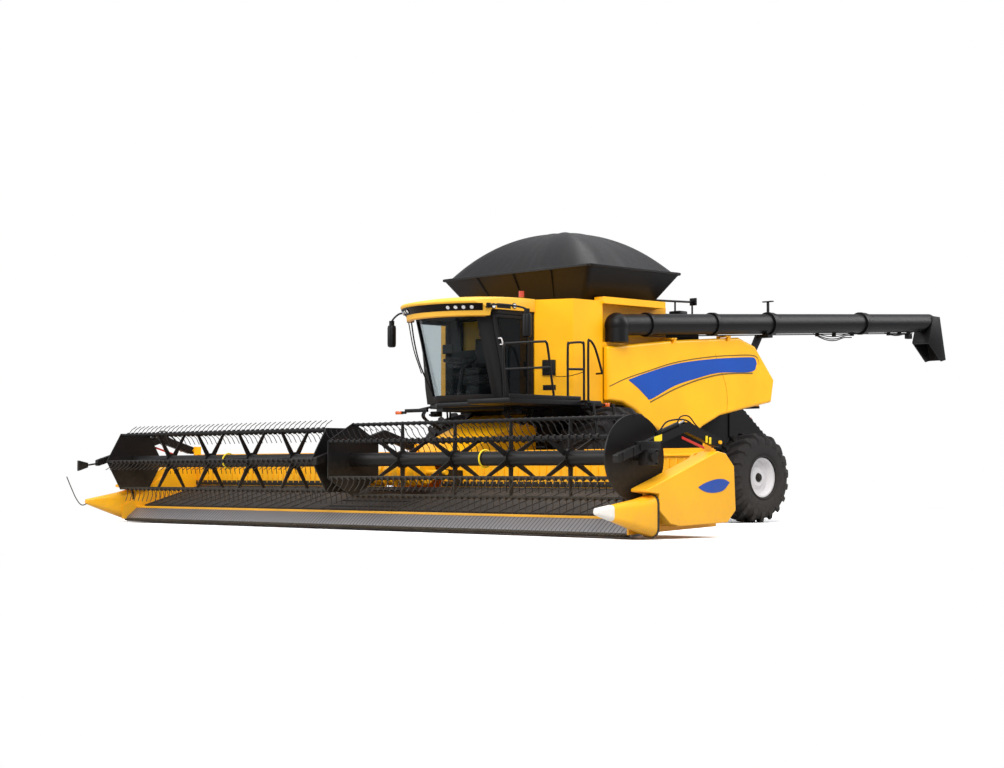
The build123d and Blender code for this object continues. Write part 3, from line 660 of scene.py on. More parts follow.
CLEAR_TOP = CAB_TOP + 0.02   # tools reach past the top, so that they cut right through it
WALL = 0.05                  # the hollow sections of the cage
GLASS = (0.020, 0.032)       # depths of the two faces of the bonded glass
DOOR = (-0.003, 0.037)       # of the door's frame
DOOR_GLASS = (0.016, 0.024)  # and of its pane
shell = cab_form(0.0)
hollow = cut(cab_form(WALL, top=CLEAR_TOP), slab(-1.2, 1.2, 1.4, 3.1, 2.06, 3.60), "INTERSECT")
for tool in [hollow, doorway(0.0, 0.6, 1.2)] + windows():
    cut(shell, tool)
shell.name = "cab_cage"
fitted(softened(shell, 0.006), moulded, "machine", angle=30)
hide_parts("cab_shell")
panes = []
for window in windows():
    panes.append(cut(layer(*GLASS), window, "INTERSECT"))
glazing = one_mesh("cab_panes", panes)
fitted(glazing, clear, "machine", angle=20)
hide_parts("cab_glass")
door = cut(layer(*DOOR, top=CAB_TOP), cut(doorway(0.01, 0.6, 1.2), doorway(0.06, 0.5, 1.3)), "INTERSECT")
HINGE_X, HINGE_A = 1.018, 2.848
hinge_barrels = [bar((HINGE_X, HINGE_A, z - 0.02), (HINGE_X, HINGE_A, z + 0.02), 0.014) for z in (2.3, 3.1)]
door = one_mesh("door_frame", [softened(door, 0.005)] + hinge_barrels)
fitted(door, moulded, "door", angle=30)
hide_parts("cab_door")
door_pane = cut(layer(*DOOR_GLASS), doorway(0.058, 0.6, 1.2), "INTERSECT")
door_pane.name = "door_pane"
fitted(door_pane, tinted, "door", angle=20)
grip = pipe([(0.985, 2.165, 2.99), (1.045, 2.17, 2.985), (1.045, 2.20, 2.90), (0.985, 2.205, 2.895)], 0.011)
grip.name = "door_grip"
fitted(grip, silver, "door")

# ---- Roof ------------------------------------------------------------------------------------------
# A moulded resin roof with a round front brim that shades the windscreen; a black band under the brim carries
# the work lamps, and red beacons stand on top.


def upright(points, z0, z1):
    """An outline of (x, behind the knife) carried from one height to another."""
    return skin_over("upright", [[(x, a, z) for x, a in points] for z in (z0, z1)])


resin = paint("moulded_yellow_resin", "#F4B93C", 0.42)
red_lens = paint("red_lamp_lens", "#B5442E", 0.25, coat=0.6)
dress(red_lens, "beacons")
ROOF_A = 2.781       # the middle of the round brim
ROOF_SECTION = [(0.0, 3.45), (0.881, 3.45), (1.081, 3.365), (1.235, 3.33), (1.281, 3.345), (1.291, 3.425),
                (1.372, 3.535), (1.391, 3.56), (1.381, 3.592), (1.25, 3.618), (1.05, 3.653), (0.84, 3.680),
                (0.55, 3.704), (0.25, 3.719), (0.0, 3.719)]   # from the middle outwards, and height
ROOF_PLAN = [(1.02, 2.94), (1.02, 1.95), (0.985, 1.86), (0.90, 1.72), (0.90, 1.30)]
ROOF_INNER = [(1.10, 3.00), (1.10, 2.01), (0.825, 1.925), (0.43, 1.665)]
ROUND = [k * math.tau / 96 for k in range(96)]
roof = skin_over("roof_moulding", [[(r * math.sin(turn), ROOF_A - r * math.cos(turn), z) for turn in ROUND]
                                   for r, z in ROOF_SECTION])
cut(roof, upright(ROOF_PLAN + [(-x, a) for x, a in reversed(ROOF_PLAN)], 3.2, 3.8), "INTERSECT")
cut(roof, upright(ROOF_INNER + [(-x, a) for x, a in reversed(ROOF_INNER)], 3.2, CAB_TOP))
fitted(softened(roof, 0.008, 50), resin, "machine", angle=30)
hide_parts("cab_roof")


def on_band(phi, along, out):
    """A point on the lamp band: degrees round from the front, share of its height, stand-off."""
    turn = math.radians(phi)
    r = 1.291 + 0.081 * along + 0.805 * out
    return (r * math.sin(turn), ROOF_A - r * math.cos(turn), 3.425 + 0.11 * along - 0.593 * out)


band = skin_over("roof_lamp_band", [[on_band(phi, 0.02, 0.001), on_band(phi, 0.98, 0.001),
                                     on_band(phi, 0.98, 0.006), on_band(phi, 0.02, 0.006)]
                                    for phi in range(-46, 47, 2)])
fitted(band, black, "machine", angle=30)
lens = paint("clear_lamp_lens", "#E8EAEC", 0.12, peel=0.0, coat=0.8)
housings, lenses = [], []
LAMPS_AT = (21.5, 27.2, 32.8, 38.5)   # degrees round the brim from the middle, the same on both sides
for phi in LAMPS_AT + tuple(-at for at in LAMPS_AT):
    housings.append(bar(on_band(phi, 0.5, 0.0), on_band(phi, 0.5, 0.016), 0.042, 20))
    lenses.append(bar(on_band(phi, 0.5, 0.012), on_band(phi, 0.5, 0.020), 0.031, 20))
for sign in (1, -1):
    for a, z in ((2.021, 3.494), (2.474, 3.522)):
        housings.append(bar((sign * 1.01, a, z), (sign * 1.032, a, z), 0.046, 20))
        lenses.append(bar((sign * 1.028, a, z), (sign * 1.038, a, z), 0.033, 20))
fitted(one_mesh("roof_lamp_housings", housings), moulded, "machine")
fitted(one_mesh("roof_lamp_lenses", lenses), lens, "machine")
recess = [slab(sign * 1.017, sign * 1.024, 2.10, 2.40, 3.470, 3.545, soft=0.003) for sign in (1, -1)]
fitted(one_mesh("roof_side_recess", recess), moulded, "machine")

# ---- Reel ------------------------------------------------------------------------------------------
# Two halves on one shaft, each with six bats on sheet steel spiders. Every bat carries a row of sprung steel
# tines, which a cam keeps aimed while the reel turns. The left end has a round shield plate.


def repeated(piece, number, step):
    """A row of the same piece, each a step from the last."""
    return applied(piece, "ARRAY", count=number, use_relative_offset=False, use_constant_offset=True,
                   constant_offset_displace=step)


REEL_A, REEL_Z, BAT_RADIUS, REEL_GAP = -0.095, 1.063, 0.535, 0.14
REEL_END = HALF - 0.04
TUBE, HUB, PLATE, SHIELD = 0.102, 0.13, 0.565, 0.562   # radii of the tube, spider hubs, end and shield plates
PLATE_HALF = 0.012                                     # half the thickness of the end plates
TINE_PITCH, TINES = 0.1319, 43
TINE_AIM = {0: 300, 30: 310, 60: 320, 90: 345, 120: 50, 150: 140, 180: 230, 210: 250, 240: 270, 270: 280,
            300: 290, 330: 295}   # bat's place round the reel, and where its tines point
reel_steel, tine_rows = [], []
for side, phase in ((-1, 0), (1, 30)):
    reel_steel.append(bar((side * REEL_GAP, REEL_A, REEL_Z), (side * REEL_END, REEL_A, REEL_Z), TUBE, 28))
    turns = [phase + 60 * i for i in range(6)]
    for turn in turns:
        c, s = math.cos(math.radians(turn)), math.sin(math.radians(turn))
        a, z = REEL_A + BAT_RADIUS * c, REEL_Z + BAT_RADIUS * s
        reel_steel.append(bar((side * REEL_GAP, a, z), (side * REEL_END, a, z), 0.022, 10))
        aim = math.radians(TINE_AIM[turn])
        first = side * (REEL_END - 0.22)
        ahead = Vector((math.cos(aim), math.sin(aim)))
        droop = Vector((math.cos(aim - 0.35), math.sin(aim - 0.35)))
        bend = ahead * 0.12
        end = bend + droop * 0.11
        tine = pipe([(first, a, z), (first, a + bend.x * 0.6, z + bend.y * 0.6),
                     (first, a + bend.x, z + bend.y), (first, a + end.x, z + end.y)], 0.0065, sides=5, fine=1)
        clamp = bar((first - 0.02, a + ahead.x * 0.012, z + ahead.y * 0.012),
                    (first + 0.02, a + ahead.x * 0.012, z + ahead.y * 0.012), 0.031, 6)
        tine_rows.append(repeated(one_mesh("tine", [tine, clamp]), TINES, (-side * TINE_PITCH, 0, 0)))
    spider_pitch = (REEL_END - REEL_GAP) / 5
    for k in range(6):
        x = side * (REEL_GAP + 0.015 + k * (spider_pitch - 0.006))
        if k == 5 and side > 0:
            reel_steel.append(bar((x - PLATE_HALF, REEL_A, REEL_Z), (x + PLATE_HALF, REEL_A, REEL_Z),
                                  SHIELD, 72))
            continue
        corners = [(REEL_A + PLATE * math.cos(math.radians(t)), REEL_Z + PLATE * math.sin(math.radians(t)))
                   for t in turns]
        if k in (0, 5):
            reel_steel.append(crosswise(corners, x - PLATE_HALF, x + PLATE_HALF))
            continue
        reel_steel.append(bar((x - 0.03, REEL_A, REEL_Z), (x + 0.03, REEL_A, REEL_Z), HUB, 24))
        for t in turns:
            c, s = math.cos(math.radians(t)), math.sin(math.radians(t))
            blade = [(REEL_A + r * c - h * s, REEL_Z + r * s + h * c)
                     for r, h in ((0.07, 0.042), (BAT_RADIUS, 0.02), (BAT_RADIUS, -0.02), (0.07, -0.042))]
            reel_steel.append(crosswise(blade, x - 0.010, x + 0.010))
reel_body = one_mesh("reel_frame_steel", reel_steel)
fitted(reel_body, black, "reel_rotor")
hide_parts("reel")
tine_steel = paint("sprung_tine_steel", "#2A2624", 0.4, metallic=0.4, gloss=0.3)
fitted(one_mesh("reel_tines", tine_rows), tine_steel, "reel_rotor")

# ---- Cutter bar and header floor -------------------------------------------------------------------
# The ramp is bare pressed steel with a rib behind every knife guard; the guards are black castings bolted
# under its front edge, and a yellow lip closes the gap to the belts. The belts carry moulded cleats.


def ribbed_steel():
    """Bare rolled steel with a pressed rib every 76 mm across the machine, each rib darkened by painted shade.
    """
    made, tree = blank("ribbed_steel_with_painted_rib_shade")
    place = node(tree, "ShaderNodeTexCoord")
    ribs = node(tree, "ShaderNodeTexWave", [("Vector", (place, "Object")), ("Scale", 0.31416 / 0.0762)],
                bands_direction="X")
    # rolling marks and rub marks, some 50 mm across
    rubbed = node(tree, "ShaderNodeTexNoise", [("Vector", (place, "Object")), ("Scale", 20.0),
                                                ("Detail", 6.0)])
    # the dark band along each rib is painted shade; the lighter grey is the steel's own colour
    tone = node(tree, "ShaderNodeValToRGB", [(0, (ribs, "Fac"))])
    tone.color_ramp.elements[0].color = linear("#4A4748")
    tone.color_ramp.elements[1].color = linear("#8A8788")
    tone.color_ramp.elements[1].position = 0.22
    sheen = node(tree, "ShaderNodeMapRange", [("Value", (rubbed, "Fac")), ("To Min", 0.36), ("To Max", 0.58)])
    bump = node(tree, "ShaderNodeBump", [("Height", (ribs, "Fac")), ("Strength", 0.5), ("Distance", 0.006)])
    skin = node(tree, "ShaderNodeBsdfPrincipled", [("Base Color", (tone, 0)), ("Metallic", 0.55),
                                                    ("Roughness", (sheen, 0)), ("Normal", (bump, 0))])
    node(tree, "ShaderNodeOutputMaterial", [("Surface", (skin, 0))])
    return made


RAMP = [(-0.215, 0.036), (-0.215, 0.080), (-0.20, 0.10), (0.0, 0.262), (0.04, 0.262), (0.06, 0.21),
        (0.06, 0.06), (-0.20, 0.02)]
ramp = crosswise(RAMP, -HALF, HALF)
ramp.name = "ramp_sheet"
fitted(ramp, ribbed_steel(), "header", angle=20)
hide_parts("cutterbar")
GUARD_PITCH, GUARDS = 0.0762, 158
first = (GUARDS - 1) / 2 * GUARD_PITCH
point = bar((first, -0.205, 0.052), (first, -0.293, 0.046), 0.026, sides=8, tip=0.010)
heel = slab(first - 0.030, first + 0.030, -0.225, -0.150, 0.026, 0.082, soft=0.012)
guard = repeated(one_mesh("knife_guards", [heel, point]), GUARDS, (-GUARD_PITCH, 0, 0))
fitted(guard, black, "header")
lip = slab(-HALF, HALF, -0.014, 0.046, 0.250, 0.285, soft=0.006)
lip.name = "ramp_lip"
fitted(lip, yellow, "header")
CENTRE_BELT, BELT_GAP, BELT_END = 0.84, 0.02, 5.95
SIDE_BELT = CENTRE_BELT + BELT_GAP
BELTS = [(-BELT_END, -SIDE_BELT), (-CENTRE_BELT, CENTRE_BELT), (SIDE_BELT, BELT_END)]
BELT_FRONT = 0.3088                                # height of the belts at their front edge
BELT_RISE = (0.585 - 0.240) / (1.240 - 0.060)      # rise for each metre to the rear
CLEAT_PITCH = 0.318
cleats = []
for x0, x1 in BELTS:
    if x0 == -CENTRE_BELT:
        # the centre belt runs to the rear and carries its cleats across
        for k in range(4):
            a = 0.20 + 0.27 * k
            top = BELT_FRONT + BELT_RISE * (a - 0.06)
            cleats.append(slab(x0 + 0.03, x1 - 0.03, a, a + 0.02, top - 0.008, top + 0.006, soft=0.003))
        continue
    number = int((x1 - x0 - 0.2) / CLEAT_PITCH)
    cleat = slab(x0 + 0.12, x0 + 0.145, 0.10, 1.20, -0.007, 0.009, soft=0.003)
    for vertex in cleat.data.vertices:
        vertex.co.z += BELT_FRONT + BELT_RISE * (vertex.co.y - knife - 0.09)
    cleats.append(repeated(cleat, number, (CLEAT_PITCH, 0, 0)))
belt_cleats = one_mesh("belt_cleats", cleats)
fitted(belt_cleats, rubber, "header")


def painted_tine_shadow_rubber():
    """Moulded belt rubber with crossed grooves; their dark lines are painted shadow of the reel tines."""
    made, tree = blank("belt_rubber_with_painted_tine_shadow")
    place = node(tree, "ShaderNodeTexCoord")
    bands = []
    for turn in (0.6, -0.6):
        # crossed grooves 90 mm apart, cut at about 35 degrees to the belt's run, dark with painted tine shadow
        run = node(tree, "ShaderNodeMapping", [("Vector", (place, "Object")), ("Rotation", (0, 0, turn))])
        bands.append(node(tree, "ShaderNodeTexWave", [("Vector", (run, 0)), ("Scale", 0.31416 / 0.09)],
                          bands_direction="X"))
    both = node(tree, "ShaderNodeMath", [(0, (bands[0], "Fac")), (1, (bands[1], "Fac"))], operation="MINIMUM")
    # the dark crossed lines in the colour are painted shadow of the reel tines, the rest is the rubber
    tone = node(tree, "ShaderNodeValToRGB", [(0, (both, 0))])
    tone.color_ramp.elements[0].color = linear("#060606")
    tone.color_ramp.elements[1].color = linear("#211E1C")
    tone.color_ramp.elements[1].position = 0.16
    bump = node(tree, "ShaderNodeBump", [("Height", (both, 0)), ("Strength", 0.6), ("Distance", 0.006)])
    skin = node(tree, "ShaderNodeBsdfPrincipled", [("Base Color", (tone, 0)), ("Roughness", 0.7),
                                                    ("Normal", (bump, 0))])
    node(tree, "ShaderNodeOutputMaterial", [("Surface", (skin, 0))])
    return made


dress(painted_tine_shadow_rubber(), "draper_belts")

# ---- Back sheet of the header ----------------------------------------------------------------------
# Folded sheet steel with an upright rib every 150 mm, and a black rubber flap that wipes the belts.
rib_rows = []
for x0, number in ((-5.98, 35), (0.74, 35)):
    rib = slab(x0, x0 + 0.022, 1.224, 1.239, 0.70, 1.06, soft=0.004)
    rib_rows.append(repeated(rib, number, (0.15, 0, 0)))
back_ribs = one_mesh("back_sheet_ribs", rib_rows)
fitted(back_ribs, yellow, "header")
flaps = [slab(x0, x1, 1.226, 1.2395, 0.655, 0.735, soft=0.003) for x0, x1 in ((-6.04, -0.70), (0.70, 6.04))]
flap = one_mesh("belt_wiper_flap", flaps)
fitted(flap, moulded, "header")
top_roll = slab(-HALF, HALF, 1.215, 1.2395, 1.085, 1.12, soft=0.008)
top_roll.name = "back_sheet_fold"
fitted(top_roll, yellow, "header")

# ---- Divider noses ---------------------------------------------------------------------------------
# Pressed steel noses that part the crop. The left one wears a white moulded shoe over its tip, and a dark
# gaiter closes the joint to the shield behind each.
white_resin = paint("white_moulded_resin", "#E9E4DC", 0.4)
shield_in = HALF + 0.030   # inner face of the end shields and the noses
NOSE = [  # behind the knife, from and to outside the end sheet, from and to in height, corner radius
    (-0.975, 0.030, 0.110, 0.330, 0.410, 0.030),
    (-0.738, 0.019, 0.166, 0.251, 0.450, 0.058),
    (-0.300, 0.000, 0.270, 0.105, 0.525, 0.110),
    (-0.065, 0.000, 0.310, 0.030, 0.580, 0.120),
]


def nose_ring(a, out0, out1, z0, z1, corner, more=0.0):
    """A ring round the nose with rounded corners, larger by so much."""
    x0, x1, z0, z1 = shield_in + out0 - more, shield_in + out1 + more, z0 - more, z1 + more
    ring = []
    for cx, cz, turn in ((x1, z1, 0), (x0, z1, 90), (x0, z0, 180), (x1, z0, 270)):
        mx, mz = cx + math.copysign(corner, x0 + x1 - 2 * cx), cz + math.copysign(corner, z0 + z1 - 2 * cz)
        for k in range(7):
            angle = math.radians(turn + 15 * k)
            ring.append((mx + corner * math.cos(angle), a, mz + corner * math.sin(angle)))
    return ring


nose = skin_over("nose_left", [nose_ring(*row) for row in NOSE])
nose = softened(nose, 0.012, 50)
noses = one_mesh("divider_shells", [nose, copied(nose, "nose_right", MIRROR_X)])
fitted(noses, yellow, "header", angle=40)
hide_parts("divider_noses")
# only the left nose has the white shoe; the right one ends in its yellow tip and a crop wire
shoe = skin_over("nose_shoe", [nose_ring(-0.988, *NOSE[0][1:], more=-0.004), nose_ring(*NOSE[0], more=0.004),
                               nose_ring(*NOSE[1], more=0.004)])
fitted(softened(shoe, 0.008, 50), white_resin, "header", angle=50)
gaiter = skin_over("nose_gaiter", [nose_ring(a, *NOSE[3][1:], more=more) for a, more in
                                   ((-0.085, -0.004), (-0.080, 0.003), (-0.052, 0.003), (-0.048, -0.004))])
gaiters = one_mesh("nose_gaiters", [gaiter, copied(gaiter, "gaiter", MIRROR_X)])
fitted(gaiters, moulded, "header", angle=40)
wire = pipe([(-HALF - 0.09, a, z) for a, z in ((-0.93, 0.345), (-1.06, 0.31), (-1.17, 0.42), (-1.28, 0.63),
                                               (-1.36, 0.80))], 0.009, sides=8, fine=6)
wire.name = "crop_wire"
fitted(wire, black, "header")

# ---- Reel arms and reel fittings -------------------------------------------------------------------
# Each outer arm is a steel box beam. On it sit the bearing housing of the reel, a hydraulic cylinder with its
# hoses, a red bar that locks the arm for service, and yellow clips. Yellow rings mark the reel's tube.
signal_red = paint("red_safety_paint", "#C22A22", 0.4)
arm_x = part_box("reel_arm_left")[1][0] - 0.045
plain_yellow = paint("plain_yellow_film", "#F2D21E", 0.4, peel=0.0)
chrome, tree = blank("hard_chrome")   # ground and plated rods, wiped clean by their seals at each stroke
skin = node(tree, "ShaderNodeBsdfPrincipled", [("Base Color", linear("#C9CBCC")), ("Metallic", 1.0),
                                                ("Roughness", 0.16)])
node(tree, "ShaderNodeOutputMaterial", [("Surface", (skin, 0))])
dress(chrome, "lift_rod_left", "lift_rod_right")
for side, sign in (("left", 1), ("right", -1)):
    out = sign * arm_x
    housing = [slab(out - 0.07, out + 0.07, -0.215, 0.025, 0.955, 1.175, soft=0.012),
               bar((out + sign * 0.065, REEL_A, REEL_Z), (out + sign * 0.115, REEL_A, REEL_Z), 0.062, 20),
               slab(out - 0.062, out + 0.062, -0.30, 0.08, 1.15, 1.27, soft=0.01)]
    for dy in (-0.095, 0.095):
        for dz in (-0.085, 0.085):
            housing.append(bar((out + sign * 0.07, REEL_A + dy, REEL_Z + dz),
                               (out + sign * 0.085, REEL_A + dy, REEL_Z + dz), 0.014, 6))
    housing.append(bar((out, 0.12, 1.385), (out, 0.47, 1.497), 0.034, 16))
    housing.append(slab(out - 0.028, out + 0.028, 0.06, 0.13, 1.29, 1.40, soft=0.006))
    housing.append(slab(out - 0.028, out + 0.028, 0.58, 0.66, 1.44, 1.53, soft=0.006))
    # two pairs of clamping plates along the front box beam
    for a in (-0.62, -0.42):
        z = 1.035 + (a + 0.715) * 0.318
        housing.append(slab(out - 0.053, out + 0.053, a, a + 0.03, z - 0.05, z + 0.062, soft=0.004))
    fitting = one_mesh(f"arm_fittings_{side}", housing)
    fitted(fitting, black, "reel_frame")
    rod_piece = bar((out, 0.47, 1.497), (out, 0.60, 1.539), 0.016)
    rod_piece.name = f"arm_ram_rod_{side}"
    fitted(rod_piece, chrome, "reel_frame")
    hoses = [pipe([(out + 0.02, 0.10, 1.40), (out + 0.03, 0.22, 1.52), (out + 0.03, 0.42, 1.56),
                   (out + 0.02, 0.62, 1.555), (out + 0.02, 0.75, 1.50), (out + 0.01, 0.90, 1.44)], 0.011),
             pipe([(out - 0.02, 0.48, 1.50), (out - 0.02, 0.56, 1.60), (out - 0.02, 0.72, 1.61),
                   (out - 0.02, 0.86, 1.50), (out - 0.02, 1.0, 1.41)], 0.009)]
    line = one_mesh(f"arm_pressure_lines_{side}", hoses)
    fitted(line, moulded, "reel_frame")
    lock = slab(out + sign * 0.047, out + sign * 0.062, 0.50, 0.94, -0.017, 0.017, soft=0.004)
    for vertex in lock.data.vertices:
        vertex.co.z += 1.325 - 0.30 * (vertex.co.y - knife - 0.50)
    lock.name = f"arm_lock_bar_{side}"
    fitted(lock, signal_red, "reel_frame")
    clips = [slab(out + sign * 0.046, out + sign * 0.060, a, a + 0.035, 1.27 - 0.25 * (a - 0.95),
                  1.36 - 0.25 * (a - 0.95), soft=0.003) for a in (0.98, 1.05)]
    clip = one_mesh(f"arm_clips_{side}", clips)
    fitted(clip, plain_yellow, "reel_frame")
    patch = slab(out + sign * 0.0455, out + sign * 0.0475, -0.03, 0.12, 1.262, 1.345)
    for vertex in patch.data.vertices:
        vertex.co.z += 0.25 * (vertex.co.y - knife - 0.045)
    patch.name = f"arm_patch_{side}"
    fitted(patch, plain_yellow, "reel_frame")
RING_X = 3.13
ring_parts = []
for x in (RING_X, -RING_X):
    fresh()
    bpy.ops.mesh.primitive_torus_add(location=(x, knife + REEL_A, REEL_Z), rotation=(0, math.pi / 2, 0),
                                     major_radius=TUBE + 0.02, minor_radius=0.012, major_segments=40,
                                     minor_segments=8)
    ring_parts.append(bpy.context.object)
rings = one_mesh("reel_tube_rings", ring_parts)
fitted(rings, plain_yellow, "reel_rotor")

# ---- Tank funnel -----------------------------------------------------------------------------------
# Four steel flaps fold up from the tank and lean outwards under the cover; a rolled edge runs round the rim.


def rounded(half, front, rear, z, corner):
    """A level rectangle with rounded corners, as a ring of (x, behind the knife, z)."""
    ring = []
    for cx, ca, turn in ((half, rear, 0), (-half, rear, 90), (-half, front, 180), (half, front, 270)):
        mx, ma = cx - math.copysign(corner, cx), ca - math.copysign(corner, ca - (front + rear) / 2)
        ring += [(mx + corner * math.cos(math.radians(turn + 18 * k)),
                  ma + corner * math.sin(math.radians(turn + 18 * k)), z) for k in range(6)]
    return ring


FLAP = 0.03                                       # the folded steel flaps, from face to face
FOOT_HALF, FOOT_FRONT, FOOT_REAR = 1.35, 3.70, 5.35
funnel = skin_over("funnel", [rounded(FOOT_HALF, FOOT_FRONT, FOOT_REAR, 3.65, 0.09),
                              rounded(RIM_HALF, RIM_FRONT, RIM_REAR, 4.20, 0.09)])
bowl = skin_over("bowl", [rounded(FOOT_HALF - FLAP, FOOT_FRONT + FLAP, FOOT_REAR - FLAP, 3.64, 0.06),
                          rounded(RIM_HALF - FLAP, RIM_FRONT + FLAP, RIM_REAR - FLAP, 4.21, 0.06)])
cut(funnel, bowl)
seams = []
for x in (-0.9, 0.0, 0.9):
    # stiffening folds down the front and the rear flap
    for a_low, a_high in ((3.695, 3.405), (5.355, 5.635)):
        seams.append(bar((x * 0.78, a_low, 3.66), (x, a_high, 4.17), 0.012, 6))
hem = skin_over("cover_hem", [rounded(RIM_HALF + out, RIM_FRONT - out, RIM_REAR + out, z, 0.09)
                              for out, z in ((0.004, 4.175), (0.014, 4.182), (0.014, 4.212), (0.004, 4.218))])
cut(hem, skin_over("inside", [rounded(RIM_HALF - 0.002, RIM_FRONT + 0.002, RIM_REAR - 0.002, z, 0.085)
                              for z in (4.1, 4.3)]))
rim = one_mesh("tank_flaps", [funnel, hem] + seams)
fitted(rim, black, "machine", angle=30)
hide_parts("tank_extension")

# ---- Unloading auger -------------------------------------------------------------------------------
# A long rolled tube with bolted flanges, an elbow at its foot and a folded steel spout at its end. Hydraulic
# lines and a lamp harness hang in clips below it, and a T-shaped stop stands on top.
AUGER_X, AUGER_A, AUGER_Z, AUGER_RADIUS = 1.70, 4.13, 3.27, 0.18
AUGER_RISE = 0.0575   # rise for each metre to the rear


def on_auger(a, turn, out):
    """A point round the tube: distance behind the knife, degrees round from the left side, stand-off."""
    r = AUGER_RADIUS + out
    z = AUGER_Z + (a - AUGER_A) * AUGER_RISE
    return (AUGER_X + r * math.cos(math.radians(turn)), a, z + r * math.sin(math.radians(turn)))


SPOUT = [(12.850, 3.900), (13.062, 3.893), (13.251, 3.064), (13.099, 3.030), (12.667, 3.387)]
MOUTH = [(12.700, 3.345), (12.760, 3.520), (12.870, 3.620), (13.100, 3.560), (13.215, 3.060), (13.215, 2.950),
         (12.700, 2.950)]
spout = cut(crosswise(SPOUT, AUGER_X - 0.19, AUGER_X + 0.19),
            crosswise(MOUTH, AUGER_X - 0.165, AUGER_X + 0.165))
spout.name = "spout_sheet"
fitted(softened(spout, 0.006), black, "auger", angle=30)
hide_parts("auger_spout")
flanges = []
for a, wide in ((4.837, 0.03), (6.498, 0.04), (8.069, 0.05), (10.815, 0.04)):
    start, end = a - wide, a + wide
    faces = [(AUGER_X, face, AUGER_Z + (face - AUGER_A) * AUGER_RISE) for face in (start, end)]
    flanges.append(bar(*faces, AUGER_RADIUS + 0.022, 48))
    for turn in range(0, 360, 30):
        for a_bolt in (start - 0.012, end):
            first = on_auger(a_bolt, turn, 0.010)
            flanges.append(bar(first, (first[0], first[1] + 0.014, first[2]), 0.011, 6))
stop = [slab(AUGER_X - 0.012, AUGER_X + 0.012, 7.995, 8.045, 3.60, 3.885),
        slab(AUGER_X - 0.11, AUGER_X + 0.11, 7.99, 8.05, 3.88, 3.90, soft=0.004)]
fitted(one_mesh("auger_flanges", flanges + stop), black, "auger")
lines = []
for first, last, droop in ((9.40, 10.55, 0.13), (11.60, 12.36, 0.05)):
    for k, turn in enumerate((250, 265, 280)):
        points = []
        for i in range(6):
            share = i / 5
            spot = on_auger(first + share * (last - first), turn, 0.012)
            sag = droop * math.sin(math.pi * min(1.0, share * 1.25) * (0.8 + 0.1 * k)) * (1 - 0.3 * k)
            points.append((spot[0], spot[1], spot[2] - abs(sag)))
        lines.append(pipe(points, 0.010, sides=7, fine=3))
for a in (9.45, 9.95, 10.5, 11.65, 12.0, 12.3):
    spot = on_auger(a, 265, 0.0)
    lines.append(slab(spot[0] - 0.035, spot[0] + 0.035, a - 0.02, a + 0.02,
                      spot[2] - 0.05, spot[2] + 0.012, soft=0.004))
lines.append(pipe([on_auger(a, 262, 0.014) for a in (4.9, 6.2, 7.5, 9.0, 10.5, 12.2)], 0.010, sides=7,
                  fine=2))
lamp_low = on_auger(12.30, 265, 0.0)
lines.append(slab(lamp_low[0] - 0.05, lamp_low[0] + 0.05, 12.24, 12.36,
                  lamp_low[2] - 0.12, lamp_low[2] - 0.02, soft=0.01))
fitted(one_mesh("auger_lines", lines), moulded, "auger")

# ---- Platform, rails and front wall ----------------------------------------------------------------
# The cab stands on a welded platform with a walkway on the left; rails of bent tube are bolted down on it.
# The tank's slanting corner carries a moulded switch box and a recessed pull.
amber = paint("amber_lamp_lens", "#D9601C", 0.25, coat=0.6)
DECK_Z = 2.0
DECK = [(-1.0, 3.30), (-1.0, 2.46), (-0.77, 2.36), (-0.42, 2.10), (0.42, 2.10), (0.80, 2.20), (1.00, 1.70),
        (1.10, 1.40), (2.05, 1.40), (2.05, 3.40), (1.06, 3.40), (1.06, 3.30)]
BELOW = [(-0.95, 3.28), (-0.95, 2.56), (-0.5, 2.30), (0.5, 2.30), (0.95, 2.40), (0.95, 3.28)]
deck = upright(DECK, 1.925, DECK_Z)
under = upright(BELOW, 1.88, 1.93)
ears = [slab(2.05, 2.175, 2.94, 3.01, 1.875, 1.905), slab(2.05, 2.175, 2.94, 3.01, 1.965, 1.995),
        bar((2.14, 2.975, 1.875), (2.14, 2.975, 1.995), 0.0145)]
edge = slab(2.035, 2.055, 1.40, 2.94, 2.0, 2.06, soft=0.004)
platform = one_mesh("walkway", [softened(deck, 0.006), under, edge] + ears)
fitted(platform, black, "machine", angle=30)
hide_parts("platform")
RAIL_X = 1.90
rails = [pipe([(RAIL_X, a, z) for a, z in path], 0.019, sides=12, fine=4) for path in (
    [(1.44, 2.00), (1.42, 2.40), (1.41, 2.74), (1.44, 2.82), (1.53, 2.835), (2.22, 2.895), (2.32, 2.89),
     (2.36, 2.80), (2.43, 2.40), (2.50, 2.00)],
    [(1.42, 2.434), (2.42, 2.506)],
    [(2.80, 2.00), (2.80, 2.82), (2.83, 2.895), (2.90, 2.91), (3.06, 2.925), (3.13, 2.915), (3.16, 2.84),
     (3.16, 2.00)],
    [(2.80, 2.49), (3.16, 2.50)],
    [(3.26, 2.00), (3.26, 2.88), (3.29, 2.96), (3.35, 2.93), (3.43, 2.82), (3.55, 2.53), (3.57, 2.45)])]
FEET = (1.44, 2.50, 2.80, 3.16, 3.26)
rails += [bar((RAIL_X, a, DECK_Z), (RAIL_X, a, DECK_Z + 0.012), 0.038, 16) for a in FEET]
rails.append(bar((RAIL_X, 3.57, 2.45), (1.75, 3.60, 2.45), 0.016))
handrails = one_mesh("bent_tube_rails", rails)
fitted(handrails, black, "machine")
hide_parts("handrails")
lamps = [slab(1.89, 2.01, 3.58, 3.64, 1.915, 1.975, soft=0.01),
         slab(-1.75, -1.60, 2.33, 2.39, 1.85, 1.905, soft=0.01)]
markers = one_mesh("corner_marker_lamps", lamps)
fitted(markers, amber, "machine")
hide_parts("marker_lamps")
